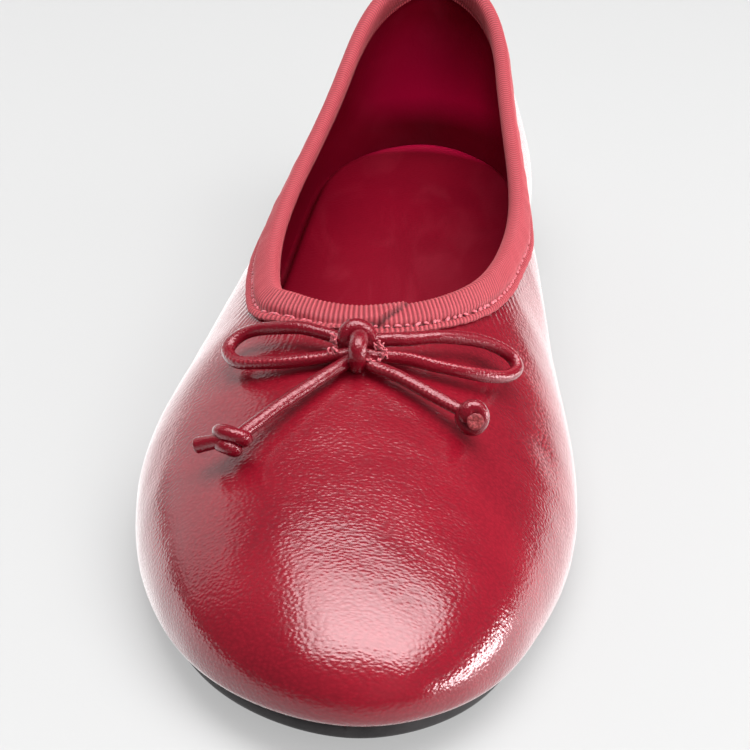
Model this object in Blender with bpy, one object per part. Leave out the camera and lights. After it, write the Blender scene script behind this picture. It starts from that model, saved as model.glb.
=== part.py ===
"""A ballet flat for the right foot, standing on its sole: a soft leather upper lasted over a thin
sole with a low heel, a folded ribbon round its opening, an insole, and a tied cord bow.

Run it with: blender --background --python part.py, or from Blender's text editor.

Lengths are metres and +Z is up. The toe points to -Y, and +X is the inner side of the foot.
Everything is laid out from the back of the heel: "along" runs from there to the toe, and "side"
is positive towards the inner side. At the end every piece is moved by the same amount, so that
the origin lies on the floor under the middle of the shoe.
"""

import math
from collections import namedtuple

import bmesh
import bpy
import numpy as np

MM = 0.001

# Driving sizes of the last
LENGTH = 0.243  # heel to toe along the feather line, where upper and sole meet
BALL_WIDTH = 0.080  # across the joints of the foot, at the feather line
THROAT_HEIGHT = 0.0415  # floor to the front edge of the opening
SIDE_HEIGHT = 0.0388  # floor to the edge of the opening at the waist
BACK_HEIGHT = 0.0585  # floor to the edge of the opening at the heel

# Sole
SOLE_THICKNESS = 0.003
HEEL_SEAT_HEIGHT = 0.010  # floor to the top of the sole under the heel
HEEL_LENGTH = 0.056  # back of the sole to the breast of the heel
HEEL_BREAST_SLOPE = 0.0025  # how far the breast leans forward
TOE_SPRING = 0.0045  # how far the tip of the sole is lifted off the floor
SOLE_INSET = 0.0028  # the sole's edge lies this far inside the feather line
SOLE_EDGE_ROUND = 0.0008

# Upper
UPPER_WALL = 0.0013
LASTING_MARGIN = 0.009  # leather turned under, between insole and sole
FEATHER_RADIUS = 0.0022  # outer radius where the upper turns under
WALL_REACH = 0.004  # lines that run in less than this go straight in from the outline
VAMP_REACH = 0.024  # lines that run in more than this head for their own tops

# Insole
INSOLE_THICKNESS = 0.003
INSOLE_CLEARANCE = 0.0018
INSOLE_EDGE_ROUND = 0.0006

# Ribbon folded over the edge of the opening
RIBBON_THICKNESS = 0.0005
RIBBON_FACE = 0.0062  # from the fold to the lower edge, outside
RIBBON_INSIDE = 0.0050  # the same, inside
RIBBON_STITCH = 0.0044  # from the fold to the stitch line
RIBBON_ROLL = 0.0005  # how much the roll above the stitches stands out further
ROLL_FOOT = 0.0027  # from the fold down to where the roll is full
ROLL_TOP = 0.0011  # from the fold down to where the roll turns over the edge

# Cord bow
CORD_DIAMETER = 0.0024
BOW_FORWARD = 0.0126  # from the front edge of the opening to the middle of the bow's knot
BOW_LIFT = -0.0005  # from that edge up to the middle of the bow's knot

GAP = 0.0003  # between pieces that meet

# How finely the faceted solids follow the shape
LINES = 84  # lines of the upper, counted round the shoe
WALL_STEPS = 9  # steps from the feather line to the edge of the opening
FEATHER_ARC = (0.0, 0.5)  # places on the arc round the feather, as shares of its turn
SOLE_RUNGS = 40
RUNG_STEPS = 4
RUNG_SPACING = 0.0015  # rungs closer than this to a heel breast's rung are left out
BREAST_STEPS = 3
OUTLINE_POINTS = 1440
CURVE_STEPS = 16  # steps between two chosen points of a cord
SHARP_ANGLE = 40  # edges sharper than this stay sharp, in degrees

# The upper is a fan of lines from the feather line up to the edge of the opening. Each row holds
# the foot of one line, as shares of LENGTH and BALL_WIDTH, its top in the same shares, how much
# of the top's height comes from the throat and from the back (the rest is from the side), the
# angle by which the line leans out at its foot, the angle over the horizontal at which it
# arrives at its top, and the reach of both ends' tangents, as shares of the line's chord.
Line = namedtuple(
    "Line",
    "place foot_along foot_side top_along top_side throat back lean low_reach arrive high_reach",
)
LAST = [
    Line("toe", 1.003, 0.060, 0.663, -0.031, 1.00, 0.00, 6, 0.17, 15, 0.46),
    Line("toe inner", 0.960, 0.273, 0.655, 0.060, 1.00, 0.00, 6, 0.17, 17, 0.43),
    Line("toe corner inner", 0.865, 0.406, 0.630, 0.154, 0.90, 0.00, 7, 0.20, 24, 0.40),
    Line("ball inner", 0.740, 0.478, 0.584, 0.234, 0.60, 0.00, 12, 0.23, 38, 0.32),
    Line("instep inner", 0.584, 0.434, 0.502, 0.286, 0.15, 0.00, 15, 0.33, 50, 0.30),
    Line("waist inner", 0.391, 0.335, 0.379, 0.296, 0.00, 0.05, 13, 0.38, 66, 0.36),
    Line("heel inner", 0.185, 0.325, 0.185, 0.238, 0.00, 0.36, 12, 0.38, 78, 0.33),
    Line("heel corner inner", 0.062, 0.244, 0.060, 0.158, 0.00, 0.80, 12, 0.37, 80, 0.33),
    Line("heel", 0.016, 0.000, 0.017, 0.000, 0.00, 1.00, 16, 0.36, 82, 0.32),
    Line("heel corner outer", 0.062, -0.244, 0.060, -0.150, 0.00, 0.80, 12, 0.37, 80, 0.33),
    Line("heel outer", 0.185, -0.338, 0.185, -0.230, 0.00, 0.35, 12, 0.38, 78, 0.33),
    Line("waist outer", 0.391, -0.375, 0.391, -0.295, 0.00, 0.02, 13, 0.38, 64, 0.36),
    Line("instep outer", 0.568, -0.454, 0.531, -0.300, 0.05, 0.00, 15, 0.38, 48, 0.38),
    Line("ball outer", 0.690, -0.524, 0.608, -0.272, 0.35, 0.00, 12, 0.34, 36, 0.42),
    Line("toe corner outer", 0.873, -0.417, 0.644, -0.210, 0.85, 0.00, 7, 0.23, 24, 0.43),
    Line("toe outer", 0.975, -0.197, 0.660, -0.125, 1.00, 0.00, 6, 0.18, 17, 0.44),
]

# Where the bottom of the last bends, as shares of LENGTH
HEEL_SEAT_FRONT = 0.20
BALL_REST = 0.64
BALL_FRONT = 0.74
TOE_CURVE = 1.6  # how late the toe spring rises: 1 is a straight ramp

# The bow is tied from one round leather cord. Each table is a stretch of it, as side, forward and
# up from the middle of its knot, in millimetres.
LOOP_OUTER = [
    (-3.2, -0.9, 0.6),
    (-5.6, -1.8, 0.9),
    (-10.5, -3.5, 1.1),
    (-14.2, -4.7, 0.4),
    (-19.6, -6.8, -1.5),
    (-22.9, -6.4, -3.1),
    (-24.3, -3.9, -4.6),
    (-22.3, -0.4, -4.9),
    (-18.5, 1.4, -4.0),
    (-13.2, 2.5, -2.9),
    (-8.2, 2.3, -2.0),
    (-5.1, 1.8, -1.5),
    (-3.1, 1.5, -1.2),
]
LOOP_INNER = [
    (3.2, -1.6, 0.6),
    (5.8, -1.9, 0.8),
    (8.5, -2.4, 0.8),
    (14.2, -4.9, 0.5),
    (20.0, -8.1, -1.2),
    (24.0, -9.9, -3.1),
    (27.2, -10.2, -5.2),
    (28.3, -8.3, -6.6),
    (26.7, -5.2, -6.6),
    (23.4, -2.1, -5.3),
    (18.5, 0.3, -3.5),
    (12.7, 1.1, -2.1),
    (8.8, 1.0, -1.4),
    (5.6, 1.1, -1.2),
    (3.2, 1.3, -1.2),
]
TAIL_OUTER = [
    (-2.8, 4.4, -1.9),
    (-6.0, 8.1, -2.7),
    (-10.1, 12.7, -4.1),
    (-13.8, 16.8, -5.5),
    (-16.9, 20.5, -6.8),
]
TAIL_INNER = [
    (2.9, 4.0, -1.8),
    (7.3, 6.0, -2.3),
    (12.5, 8.8, -3.5),
    (18.3, 11.6, -5.0),
]
END_OUTER = [(-22.5, 22.0, -9.3), (-24.3, 21.4, -10.1), (-26.0, 20.9, -10.8)]
END_INNER = [(21.9, 16.1, -5.4), (22.2, 17.3, -5.2), (22.4, 18.4, -5.0)]
CORD_SIDES_RESOLUTION = 2
CORD_STEP = 1.2  # points of a cord lie this many diameters apart

# Its knots: middle as above, half sizes side, forward and up, and turn about the vertical
Knot = namedtuple("Knot", "name middle half_sizes turn")
KNOTS = [
    Knot("bow_knot", (0.0, 0.0, 0.3), (2.6, 4.2, 2.4), 0),
    Knot("tail_knot_outer", (-19.2, 23.0, -7.9), (3.3, 3.0, 2.8), 20),
    Knot("tail_knot_inner", (21.4, 12.8, -5.9), (3.0, 3.0, 3.0), 0),
]
KNOT_SEGMENTS = 16
KNOT_RINGS = 10

RED_LEATHER = (0.45, 0.018, 0.035, 1.0)
RED_RIBBON = (0.62, 0.075, 0.10, 1.0)
INSOLE_RED = (0.32, 0.008, 0.022, 1.0)
SOLE_GREY = (0.045, 0.048, 0.05, 1.0)


def closed_spline(knots, rows, at):
    """Periodic cubic spline through rows at knots 0..1, read at the parameters in at."""
    steps = np.diff(knots)
    count = len(rows)
    after = np.roll(rows, -1, axis=0)
    slopes = (after - rows) / steps[:, None]
    system = np.zeros((count, count))
    for i in range(count):
        system[i, i - 1] += steps[i - 1]
        system[i, i] += 2 * (steps[i - 1] + steps[i])
        system[i, (i + 1) % count] += steps[i]
    bends = np.linalg.solve(system, 6 * (slopes - np.roll(slopes, 1, axis=0)))
    bends_after = np.roll(bends, -1, axis=0)
    at = np.mod(at, 1.0)
    span = np.clip(np.searchsorted(knots, at, side="right") - 1, 0, count - 1)
    width = steps[span][:, None]
    late = (at - knots[span])[:, None]
    early = width - late
    return (
        bends[span] * early**3 / (6 * width)
        + bends_after[span] * late**3 / (6 * width)
        + (rows[span] / width - bends[span] * width / 6) * early
        + (after[span] / width - bends_after[span] * width / 6) * late
    )


def smooth_route(points, step):
    """A smooth curve through points, as evenly spaced as step allows, ends included."""
    points = np.array(points)
    before = np.vstack([2 * points[0] - points[1], points[:-1]])
    after = np.vstack([points[1:], 2 * points[-1] - points[-2]])
    tangents = (after - before) / 2
    fine = []
    for i in range(len(points) - 1):
        t = np.linspace(0, 1, CURVE_STEPS, endpoint=False)[:, None]
        fine.append(
            (2 * t**3 - 3 * t**2 + 1) * points[i]
            + (t**3 - 2 * t**2 + t) * tangents[i]
            + (3 * t**2 - 2 * t**3) * points[i + 1]
            + (t**3 - t**2) * tangents[i + 1]
        )
    fine = np.vstack([*fine, points[-1:]])
    run = np.concatenate([[0], np.cumsum(np.linalg.norm(np.diff(fine, axis=0), axis=1))])
    count = max(2, round(run[-1] / step) + 1)
    even = np.linspace(0, run[-1], count)
    return np.stack([np.interp(even, run, fine[:, k]) for k in range(3)], axis=1)


def smooth_step(x):
    """0 below 0, 1 above 1, and a smooth rise between."""
    x = np.clip(x, 0, 1)
    return x * x * (3 - 2 * x)


def sole_top(along):
    """Height of the top of the sole: heel seat, waist, ball and toe spring."""
    rise = HEEL_SEAT_HEIGHT - SOLE_THICKNESS
    waist = smooth_step(
        (BALL_REST * LENGTH - along) / ((BALL_REST - HEEL_SEAT_FRONT) * LENGTH)
    )
    toe = np.clip((along - BALL_FRONT * LENGTH) / ((1 - BALL_FRONT) * LENGTH), 0, None)
    return SOLE_THICKNESS + rise * waist + TOE_SPRING * toe**TOE_CURVE


def sole_bottom(along):
    """Height of the underside: flat under the heel, and one thickness below the top elsewhere."""
    heel = 1 - smooth_step((along - HEEL_LENGTH) / HEEL_BREAST_SLOPE)
    return (sole_top(along) - SOLE_THICKNESS) * (1 - heel)


def line_values(at):
    """The columns of LAST, in metres and radians, at the parameters in at."""
    table = np.array([row[1:] for row in LAST], float)
    table[:, [0, 2]] *= LENGTH
    table[:, [1, 3]] *= BALL_WIDTH
    table[:, [6, 8]] = np.radians(table[:, [6, 8]])
    feet = np.vstack([table[:, :2], table[:1, :2]])
    knots = np.concatenate([[0], np.cumsum(np.linalg.norm(np.diff(feet, axis=0), axis=1))])
    return closed_spline(knots / knots[-1], table, at)


def outward(foot):
    """Unit normals of a closed outline of plan points, pointing out of it."""
    run = np.roll(foot, -1, axis=0) - np.roll(foot, 1, axis=0)
    normal = np.stack([run[:, 1], -run[:, 0]], axis=1)
    normal /= np.linalg.norm(normal, axis=1)[:, None]
    area = np.sum(foot[:, 0] * np.roll(foot[:, 1], -1) - foot[:, 1] * np.roll(foot[:, 0], -1))
    return normal * np.sign(area)


def plan(along, side):
    """Plan coordinates x, y of a place on the last."""
    return np.stack([side, -along], axis=-1)


def upper_surface(count, steps):
    """The outside of the upper as points [line, step], from the turned-under edge to the top.

    Each line runs in under the insole, round the feather, and up as a cubic Bezier curve.
    """
    values = line_values(np.arange(count) / count)
    foot = plan(values[:, 0], values[:, 1])
    top = plan(values[:, 2], values[:, 3])
    throat, back, lean = values[:, 4], values[:, 5], values[:, 6]
    height = THROAT_HEIGHT * throat + BACK_HEIGHT * back + SIDE_HEIGHT * (1 - throat - back)
    out = outward(foot)
    seat = sole_top(values[:, 0]) + GAP
    start = np.column_stack([foot, seat + FEATHER_RADIUS * (1 - np.sin(lean))])
    end = np.column_stack([top, height])
    over = top - foot
    reach = np.linalg.norm(over, axis=1)[:, None]
    share = smooth_step((reach - WALL_REACH) / (VAMP_REACH - WALL_REACH))
    inward = -out * (1 - share) + over / reach * share
    inward /= np.linalg.norm(inward, axis=1)[:, None]
    chord = np.linalg.norm(end - start, axis=1)[:, None]
    leave = np.column_stack([out * np.sin(lean)[:, None], np.cos(lean)])
    arrive = np.column_stack([inward * np.cos(values[:, 8])[:, None], np.sin(values[:, 8])])
    low = start + leave * chord * values[:, 7:8]
    high = end - arrive * chord * values[:, 9:10]
    t = (np.arange(steps + 1) / steps)[None, :, None]
    wall = (
        (1 - t) ** 3 * start[:, None]
        + 3 * (1 - t) ** 2 * t * low[:, None]
        + 3 * (1 - t) * t**2 * high[:, None]
        + t**3 * end[:, None]
    )
    return np.concatenate([turned_under(foot, out, start, lean), wall], axis=1)


def turned_under(foot, out, start, lean):
    """The lasting margin and the arc round the feather, as points [line, step]."""
    centre = foot - out * (FEATHER_RADIUS * np.cos(lean))[:, None]
    arc = []
    for share in FEATHER_ARC:
        turn = share * (math.pi / 2 - lean)
        xy = centre + out * (FEATHER_RADIUS * np.sin(turn))[:, None]
        low = start[:, 2] + FEATHER_RADIUS * (np.sin(lean) - np.cos(turn))
        arc.append(np.column_stack([xy, low]))
    margin = centre - out * (LASTING_MARGIN - FEATHER_RADIUS)
    inner = np.column_stack([margin, sole_top(-margin[:, 1]) + GAP])
    return np.stack([inner, *arc], axis=1)


def surface_normals(points):
    """Unit normals of a grid that is closed over its first index, pointing out of the shoe."""
    around = np.roll(points, -1, axis=0) - np.roll(points, 1, axis=0)
    up = np.gradient(points, axis=1)
    normal = np.cross(up, around)
    normal /= np.linalg.norm(normal, axis=2)[:, :, None]
    feather = len(FEATHER_ARC) + 1
    outside = points[:, feather, :2] - points[:, feather, :2].mean(axis=0)
    facing = np.sum(normal[:, feather, :2] * outside)
    return normal * np.sign(facing)


def add_object(name, mesh, material):
    """One named object for a piece, smooth where it is round."""
    mesh.shade_smooth()
    mesh.set_sharp_from_angle(angle=math.radians(SHARP_ANGLE))
    mesh.materials.append(material)
    return place_piece(name, mesh)


def place_piece(name, data):
    """An object of that name in the scene, from a mesh or a curve."""
    piece = bpy.data.objects.new(name, data)
    bpy.context.scene.collection.objects.link(piece)
    return piece


def closed_mesh(name, points, faces):
    """A mesh with its doubles merged and its faces pointing out."""
    mesh = bpy.data.meshes.new(name)
    mesh.from_pydata([tuple(p) for p in points], [], faces)
    work = bmesh.new()
    work.from_mesh(mesh)
    bmesh.ops.remove_doubles(work, verts=work.verts, dist=1e-6)
    bmesh.ops.dissolve_degenerate(work, edges=work.edges, dist=1e-7)
    bmesh.ops.recalc_face_normals(work, faces=work.faces)
    work.to_mesh(mesh)
    work.free()
    return mesh


def ring_solid(name, sections):
    """A ring-shaped solid: sections [line, point] are closed loops carried round the shoe."""
    lines, points = sections.shape[:2]
    faces = []
    for i in range(lines):
        j = (i + 1) % lines
        for k in range(points):
            m = (k + 1) % points
            faces.append((i * points + k, i * points + m, j * points + m, j * points + k))
    return closed_mesh(name, sections.reshape(-1, 3), faces)


def make_upper(outside, normals, material):
    """The upper: the outside and a copy one wall further in, joined at both edges."""
    inside = outside - normals * UPPER_WALL
    sections = np.concatenate([outside, inside[:, ::-1]], axis=1)
    return add_object("upper", ring_solid("upper", sections), material)


def along_line(points, normals, distance):
    """Places and normals on each line, at a distance down from its top."""
    runs = np.linalg.norm(np.diff(points[:, ::-1], axis=1), axis=2)
    places, facing = [], []
    for line in range(len(points)):
        run = np.concatenate([[0], np.cumsum(runs[line])])
        places.append([np.interp(distance, run, points[line, ::-1, k]) for k in range(3)])
        facing.append([np.interp(distance, run, normals[line, ::-1, k]) for k in range(3)])
    facing = np.array(facing)
    return np.array(places), facing / np.linalg.norm(facing, axis=1)[:, None]


def make_ribbon(outside, normals, material):
    """The ribbon folded over the edge: an outer leg with a roll, a fold and an inner leg."""
    top, top_normal = outside[:, -1], normals[:, -1]
    up = top - outside[:, -2]
    up -= top_normal * np.sum(up * top_normal, axis=1)[:, None]
    up /= np.linalg.norm(up, axis=1)[:, None]
    middle = top - top_normal * UPPER_WALL / 2
    roll = RIBBON_THICKNESS + RIBBON_ROLL
    depth = UPPER_WALL + GAP
    inner_face = -depth - RIBBON_THICKNESS

    def on_leg(distance, offset):
        place, normal = along_line(outside, normals, distance)
        return place + normal * offset

    def round_edge(degrees, radius):
        turn = math.radians(degrees)
        return middle + radius * (top_normal * math.cos(turn) + up * math.sin(turn))

    clear = UPPER_WALL / 2 + GAP
    fold = clear + RIBBON_THICKNESS
    outline = [
        on_leg(RIBBON_FACE, GAP + RIBBON_THICKNESS),
        on_leg(RIBBON_STITCH, GAP + RIBBON_THICKNESS),
        on_leg(ROLL_FOOT, GAP + roll),
        on_leg(ROLL_TOP, GAP + roll),
        round_edge(50, fold + RIBBON_ROLL),
        round_edge(90, fold + RIBBON_ROLL / 2),
        round_edge(135, fold),
        on_leg(ROLL_TOP, inner_face),
        on_leg(RIBBON_STITCH, inner_face),
        on_leg(RIBBON_INSIDE, inner_face),
        on_leg(RIBBON_INSIDE, -depth),
        on_leg(RIBBON_STITCH, -depth),
        on_leg(ROLL_TOP, -depth),
        round_edge(145, clear),
        round_edge(90, clear),
        round_edge(35, clear),
        on_leg(ROLL_TOP, GAP),
        on_leg(RIBBON_STITCH, GAP),
        on_leg(RIBBON_FACE, GAP),
    ]
    sections = np.stack(outline, axis=1)
    return add_object("topline_ribbon", ring_solid("topline_ribbon", sections), material)


def outline_widths(inset):
    """The feather outline moved in by inset, as side against along for both sides."""
    values = line_values(np.arange(OUTLINE_POINTS) / OUTLINE_POINTS)
    foot = plan(values[:, 0], values[:, 1])
    foot = foot - outward(foot) * inset
    along, side = -foot[:, 1], foot[:, 0]
    toe, heel = int(np.argmax(along)), int(np.argmin(along))
    along, side = np.roll(along, -toe), np.roll(side, -toe)
    heel = (heel - toe) % OUTLINE_POINTS
    inner = (along[: heel + 1][::-1], side[: heel + 1][::-1])
    outer = (np.append(along[heel:], along[0]), np.append(side[heel:], side[0]))
    return inner, outer


def rungs(inset, stops):
    """Plan points [rung, step] across the shoe, rung i at share stops[i] of the outline's length."""
    inner, outer = outline_widths(inset)
    along = inner[0][0] + stops * (inner[0][-1] - inner[0][0])
    right = np.interp(along, *inner)
    left = np.interp(along, *outer)
    across = np.linspace(0, 1, RUNG_STEPS + 1)[None, :]
    side = left[:, None] * (1 - across) + right[:, None] * across
    return plan(np.broadcast_to(along[:, None], side.shape), side)


def rung_stops(extra=()):
    """Shares from heel to toe at which rungs lie, closer together at both ends."""
    even = (1 - np.cos(np.pi * np.arange(SOLE_RUNGS + 1) / SOLE_RUNGS)) / 2
    near = RUNG_SPACING / LENGTH
    kept = [stop for stop in even if all(abs(stop - own) > near for own in extra)]
    return np.array(sorted([*kept, *extra]))


def plate(name, layers):
    """A plate from layers of rungs [rung, step], lowest first: filled bottom and top, and sides."""
    count, wide = layers[0].shape[:2]
    size = count * wide
    points = np.concatenate([layer.reshape(-1, 3) for layer in layers])
    faces = []
    last = (len(layers) - 1) * size
    for i in range(count - 1):
        for k in range(wide - 1):
            a, b = i * wide + k, (i + 1) * wide + k
            faces.append((a, a + 1, b + 1, b))
            faces.append((last + a, last + b, last + b + 1, last + a + 1))
        for n in range(len(layers) - 1):
            for k in (0, wide - 1):
                a, b = n * size + i * wide + k, n * size + (i + 1) * wide + k
                faces.append((a, b, b + size, a + size))
    used = sorted({corner for face in faces for corner in face})
    index = {corner: n for n, corner in enumerate(used)}
    faces = [tuple(index[corner] for corner in face) for face in faces]
    return closed_mesh(name, points[used], faces)


def layer(inset, stops, height):
    """Rungs of the outline moved in by inset, at the height that a function of along gives."""
    flat = rungs(inset, stops)
    return np.concatenate([flat, height(-flat[:, :, 1:2])], axis=2)


def make_outsole(material):
    """The thin sole with its low heel moulded on, its edges rounded a little."""
    leans = np.linspace(0, HEEL_BREAST_SLOPE, BREAST_STEPS + 1)
    stops = rung_stops((HEEL_LENGTH + leans) / LENGTH)
    inner = SOLE_INSET + SOLE_EDGE_ROUND
    layers = [
        layer(inner, stops, sole_bottom),
        layer(SOLE_INSET, stops, lambda along: sole_bottom(along) + SOLE_EDGE_ROUND),
        layer(SOLE_INSET, stops, lambda along: sole_top(along) - SOLE_EDGE_ROUND / 2),
        layer(SOLE_INSET + SOLE_EDGE_ROUND / 2, stops, sole_top),
    ]
    return add_object("outsole", plate("outsole", layers), material)


def make_insole(material):
    """The insole, resting on the turned-under leather."""
    seat = GAP + UPPER_WALL + GAP
    edge = UPPER_WALL + INSOLE_CLEARANCE
    stops = rung_stops()
    top = seat + INSOLE_THICKNESS
    layers = [
        layer(edge + INSOLE_EDGE_ROUND, stops, lambda along: sole_top(along) + seat),
        layer(edge, stops, lambda along: sole_top(along) + seat + INSOLE_EDGE_ROUND),
        layer(edge, stops, lambda along: sole_top(along) + top - INSOLE_EDGE_ROUND),
        layer(edge + INSOLE_EDGE_ROUND, stops, lambda along: sole_top(along) + top),
    ]
    return add_object("insole", plate("insole", layers), material)


def bow_places(outside, points):
    """Points given from the middle of the bow's knot, as places on the shoe."""
    middle = outside[0, -1] + np.array([0, -BOW_FORWARD, BOW_LIFT])
    return middle + np.array(points) * np.array([MM, -MM, MM])


def make_cord(name, places, material):
    """A plain round tube of cord through the given places."""
    route = smooth_route(places, CORD_STEP * CORD_DIAMETER)
    curve = bpy.data.curves.new(name, "CURVE")
    curve.dimensions = "3D"
    curve.bevel_depth = CORD_DIAMETER / 2
    curve.bevel_resolution = CORD_SIDES_RESOLUTION
    curve.use_fill_caps = True
    spline = curve.splines.new("POLY")
    spline.points.add(len(route) - 1)
    for point, place in zip(spline.points, route):
        point.co = (*place, 1.0)
    curve.materials.append(material)
    return place_piece(name, curve)


def make_knot(knot, place, material):
    """A rounded knot: a ball stretched to its half sizes and turned about the vertical."""
    work = bmesh.new()
    bmesh.ops.create_uvsphere(
        work, u_segments=KNOT_SEGMENTS, v_segments=KNOT_RINGS, radius=1.0
    )
    cosine, sine = math.cos(math.radians(knot.turn)), math.sin(math.radians(knot.turn))
    for vertex in work.verts:
        x, y, z = (vertex.co[k] * knot.half_sizes[k] * MM for k in range(3))
        turned = (x * cosine - y * sine, x * sine + y * cosine, z)
        vertex.co = [turned[k] + place[k] for k in range(3)]
    mesh = bpy.data.meshes.new(knot.name)
    work.to_mesh(mesh)
    work.free()
    return add_object(knot.name, mesh, material)


def make_bow(outside, material):
    """The bow in front of the opening: two loops, two tails with knotted ends, and the knots."""
    stretches = {
        "bow_loop_outer": LOOP_OUTER,
        "bow_loop_inner": LOOP_INNER,
        "bow_tail_outer": TAIL_OUTER,
        "bow_tail_inner": TAIL_INNER,
        "tail_end_outer": END_OUTER,
        "tail_end_inner": END_INNER,
    }
    cords = [
        make_cord(name, bow_places(outside, points), material)
        for name, points in stretches.items()
    ]
    knots = [
        make_knot(knot, bow_places(outside, [knot.middle])[0], material) for knot in KNOTS
    ]
    return cords + knots


def make_material(name, colour, roughness):
    """A plain finish for one kind of piece."""
    material = bpy.data.materials.new(name)
    material.use_nodes = True
    shader = material.node_tree.nodes["Principled BSDF"]
    shader.inputs["Base Color"].default_value = colour
    shader.inputs["Roughness"].default_value = roughness
    shader.inputs["Metallic"].default_value = 0.0
    return material


def main():
    for piece in list(bpy.data.objects):
        bpy.data.objects.remove(piece, do_unlink=True)

    outside = upper_surface(LINES, WALL_STEPS)
    normals = surface_normals(outside)
    pieces = [
        make_upper(outside, normals, make_material("leather", RED_LEATHER, 0.35)),
        make_ribbon(outside, normals, make_material("ribbon", RED_RIBBON, 0.8)),
        make_outsole(make_material("sole_rubber", SOLE_GREY, 0.6)),
        make_insole(make_material("insole_leather", INSOLE_RED, 0.5)),
        *make_bow(outside, make_material("cord_leather", RED_LEATHER, 0.3)),
    ]
    low, high = outside.min(axis=(0, 1)), outside.max(axis=(0, 1))
    shoe = bpy.data.objects.new("shoe", None)
    bpy.context.scene.collection.objects.link(shoe)
    shoe.location = (-(low[0] + high[0]) / 2, -(low[1] + high[1]) / 2, 0)
    for piece in pieces:
        piece.parent = shoe
    bpy.context.view_layer.update()


main()
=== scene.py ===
import math

import bpy
import numpy as np
from mathutils import Matrix


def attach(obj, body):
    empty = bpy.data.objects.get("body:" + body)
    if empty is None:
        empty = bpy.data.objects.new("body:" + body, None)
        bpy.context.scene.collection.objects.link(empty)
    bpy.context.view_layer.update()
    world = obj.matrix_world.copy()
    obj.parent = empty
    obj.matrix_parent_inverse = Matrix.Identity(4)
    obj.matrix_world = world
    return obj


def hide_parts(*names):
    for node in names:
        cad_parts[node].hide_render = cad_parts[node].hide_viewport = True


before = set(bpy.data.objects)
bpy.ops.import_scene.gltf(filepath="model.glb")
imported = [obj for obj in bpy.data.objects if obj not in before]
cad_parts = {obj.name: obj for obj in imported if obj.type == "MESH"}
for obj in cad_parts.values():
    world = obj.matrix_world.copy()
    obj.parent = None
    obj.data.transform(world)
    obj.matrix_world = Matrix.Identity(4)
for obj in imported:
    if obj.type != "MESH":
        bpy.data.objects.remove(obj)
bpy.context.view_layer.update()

# Camera: in front of the toe and a little to the inner side, looking down through a long lens.
# Its place and turn were solved from the shoe's outline in the photograph, whose frame is square.
CAMERA_PLACE = (0.02713, -0.41461, 0.2227)
CAMERA_TURN, CAMERA_DOWN, CAMERA_ROLL = (math.radians(a) for a in (-3.9, 27.2, 2.1))
CAMERA_LENS, CAMERA_SENSOR = 109.2, 36.0


def camera_turn(turn, down, roll):
    """The camera's axes: its view turned from +Y and tipped down, then rolled about itself."""
    ahead = np.array([
        math.sin(turn) * math.cos(down), math.cos(turn) * math.cos(down), -math.sin(down)
    ])
    level = np.array([math.cos(turn), -math.sin(turn), 0.0])
    above = np.cross(level, ahead)
    right = level * math.cos(roll) + above * math.sin(roll)
    up = above * math.cos(roll) - level * math.sin(roll)
    return Matrix(np.stack([right, up, -ahead], axis=1).tolist()).to_4x4()


camera_data = bpy.data.cameras.new("camera")
camera_data.lens, camera_data.sensor_width = CAMERA_LENS, CAMERA_SENSOR
camera_data.clip_start, camera_data.clip_end = 0.01, 50.0
camera = bpy.data.objects.new("camera", camera_data)
bpy.context.scene.collection.objects.link(camera)
camera.matrix_world = Matrix.Translation(CAMERA_PLACE) @ camera_turn(
    CAMERA_TURN, CAMERA_DOWN, CAMERA_ROLL
)
bpy.context.scene.camera = camera

# Cord bow: one round cord of the upper's leather, rolled and sewn along its length, tied in two
# loops and two tails in front of the opening.
MM = 0.001
UP = np.array([0.0, 0.0, 1.0])
BOW_MIDDLE = np.array([-0.000583, -0.051094, 0.0410])  # the middle of its knot
CORD_DIAMETER, CORD_SIDES, CORD_STEP = 0.0024, 36, 0.00018
SEAM_PITCH = 0.0009  # from stitch to stitch along the cord
LAP_HEIGHT, LAP_STEP, LAP_FALL = 0.00013, 0.20, 1.1  # the strip's free edge, in m and radians
SEAM_SWAY, SEAM_WAVE = 0.10, 0.006  # the seam wanders by this angle as it runs
CORD_WAVE, CORD_WAVE_LENGTH = 0.00003, 0.0021  # how uneven a cord's radius is
STITCH_HEIGHT, STITCH_AT, STITCH_WIDTH = 0.00013, 0.42, 0.17  # in radians past the free edge
CUT_FLARE, CUT_LENGTH = 0.24, 0.0050  # a cut end spreads by this share over this length
CUT_DOME, CUT_PIT, CUT_FIBRES = 0.00030, 0.00022, 0.00010  # heights on its face
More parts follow.
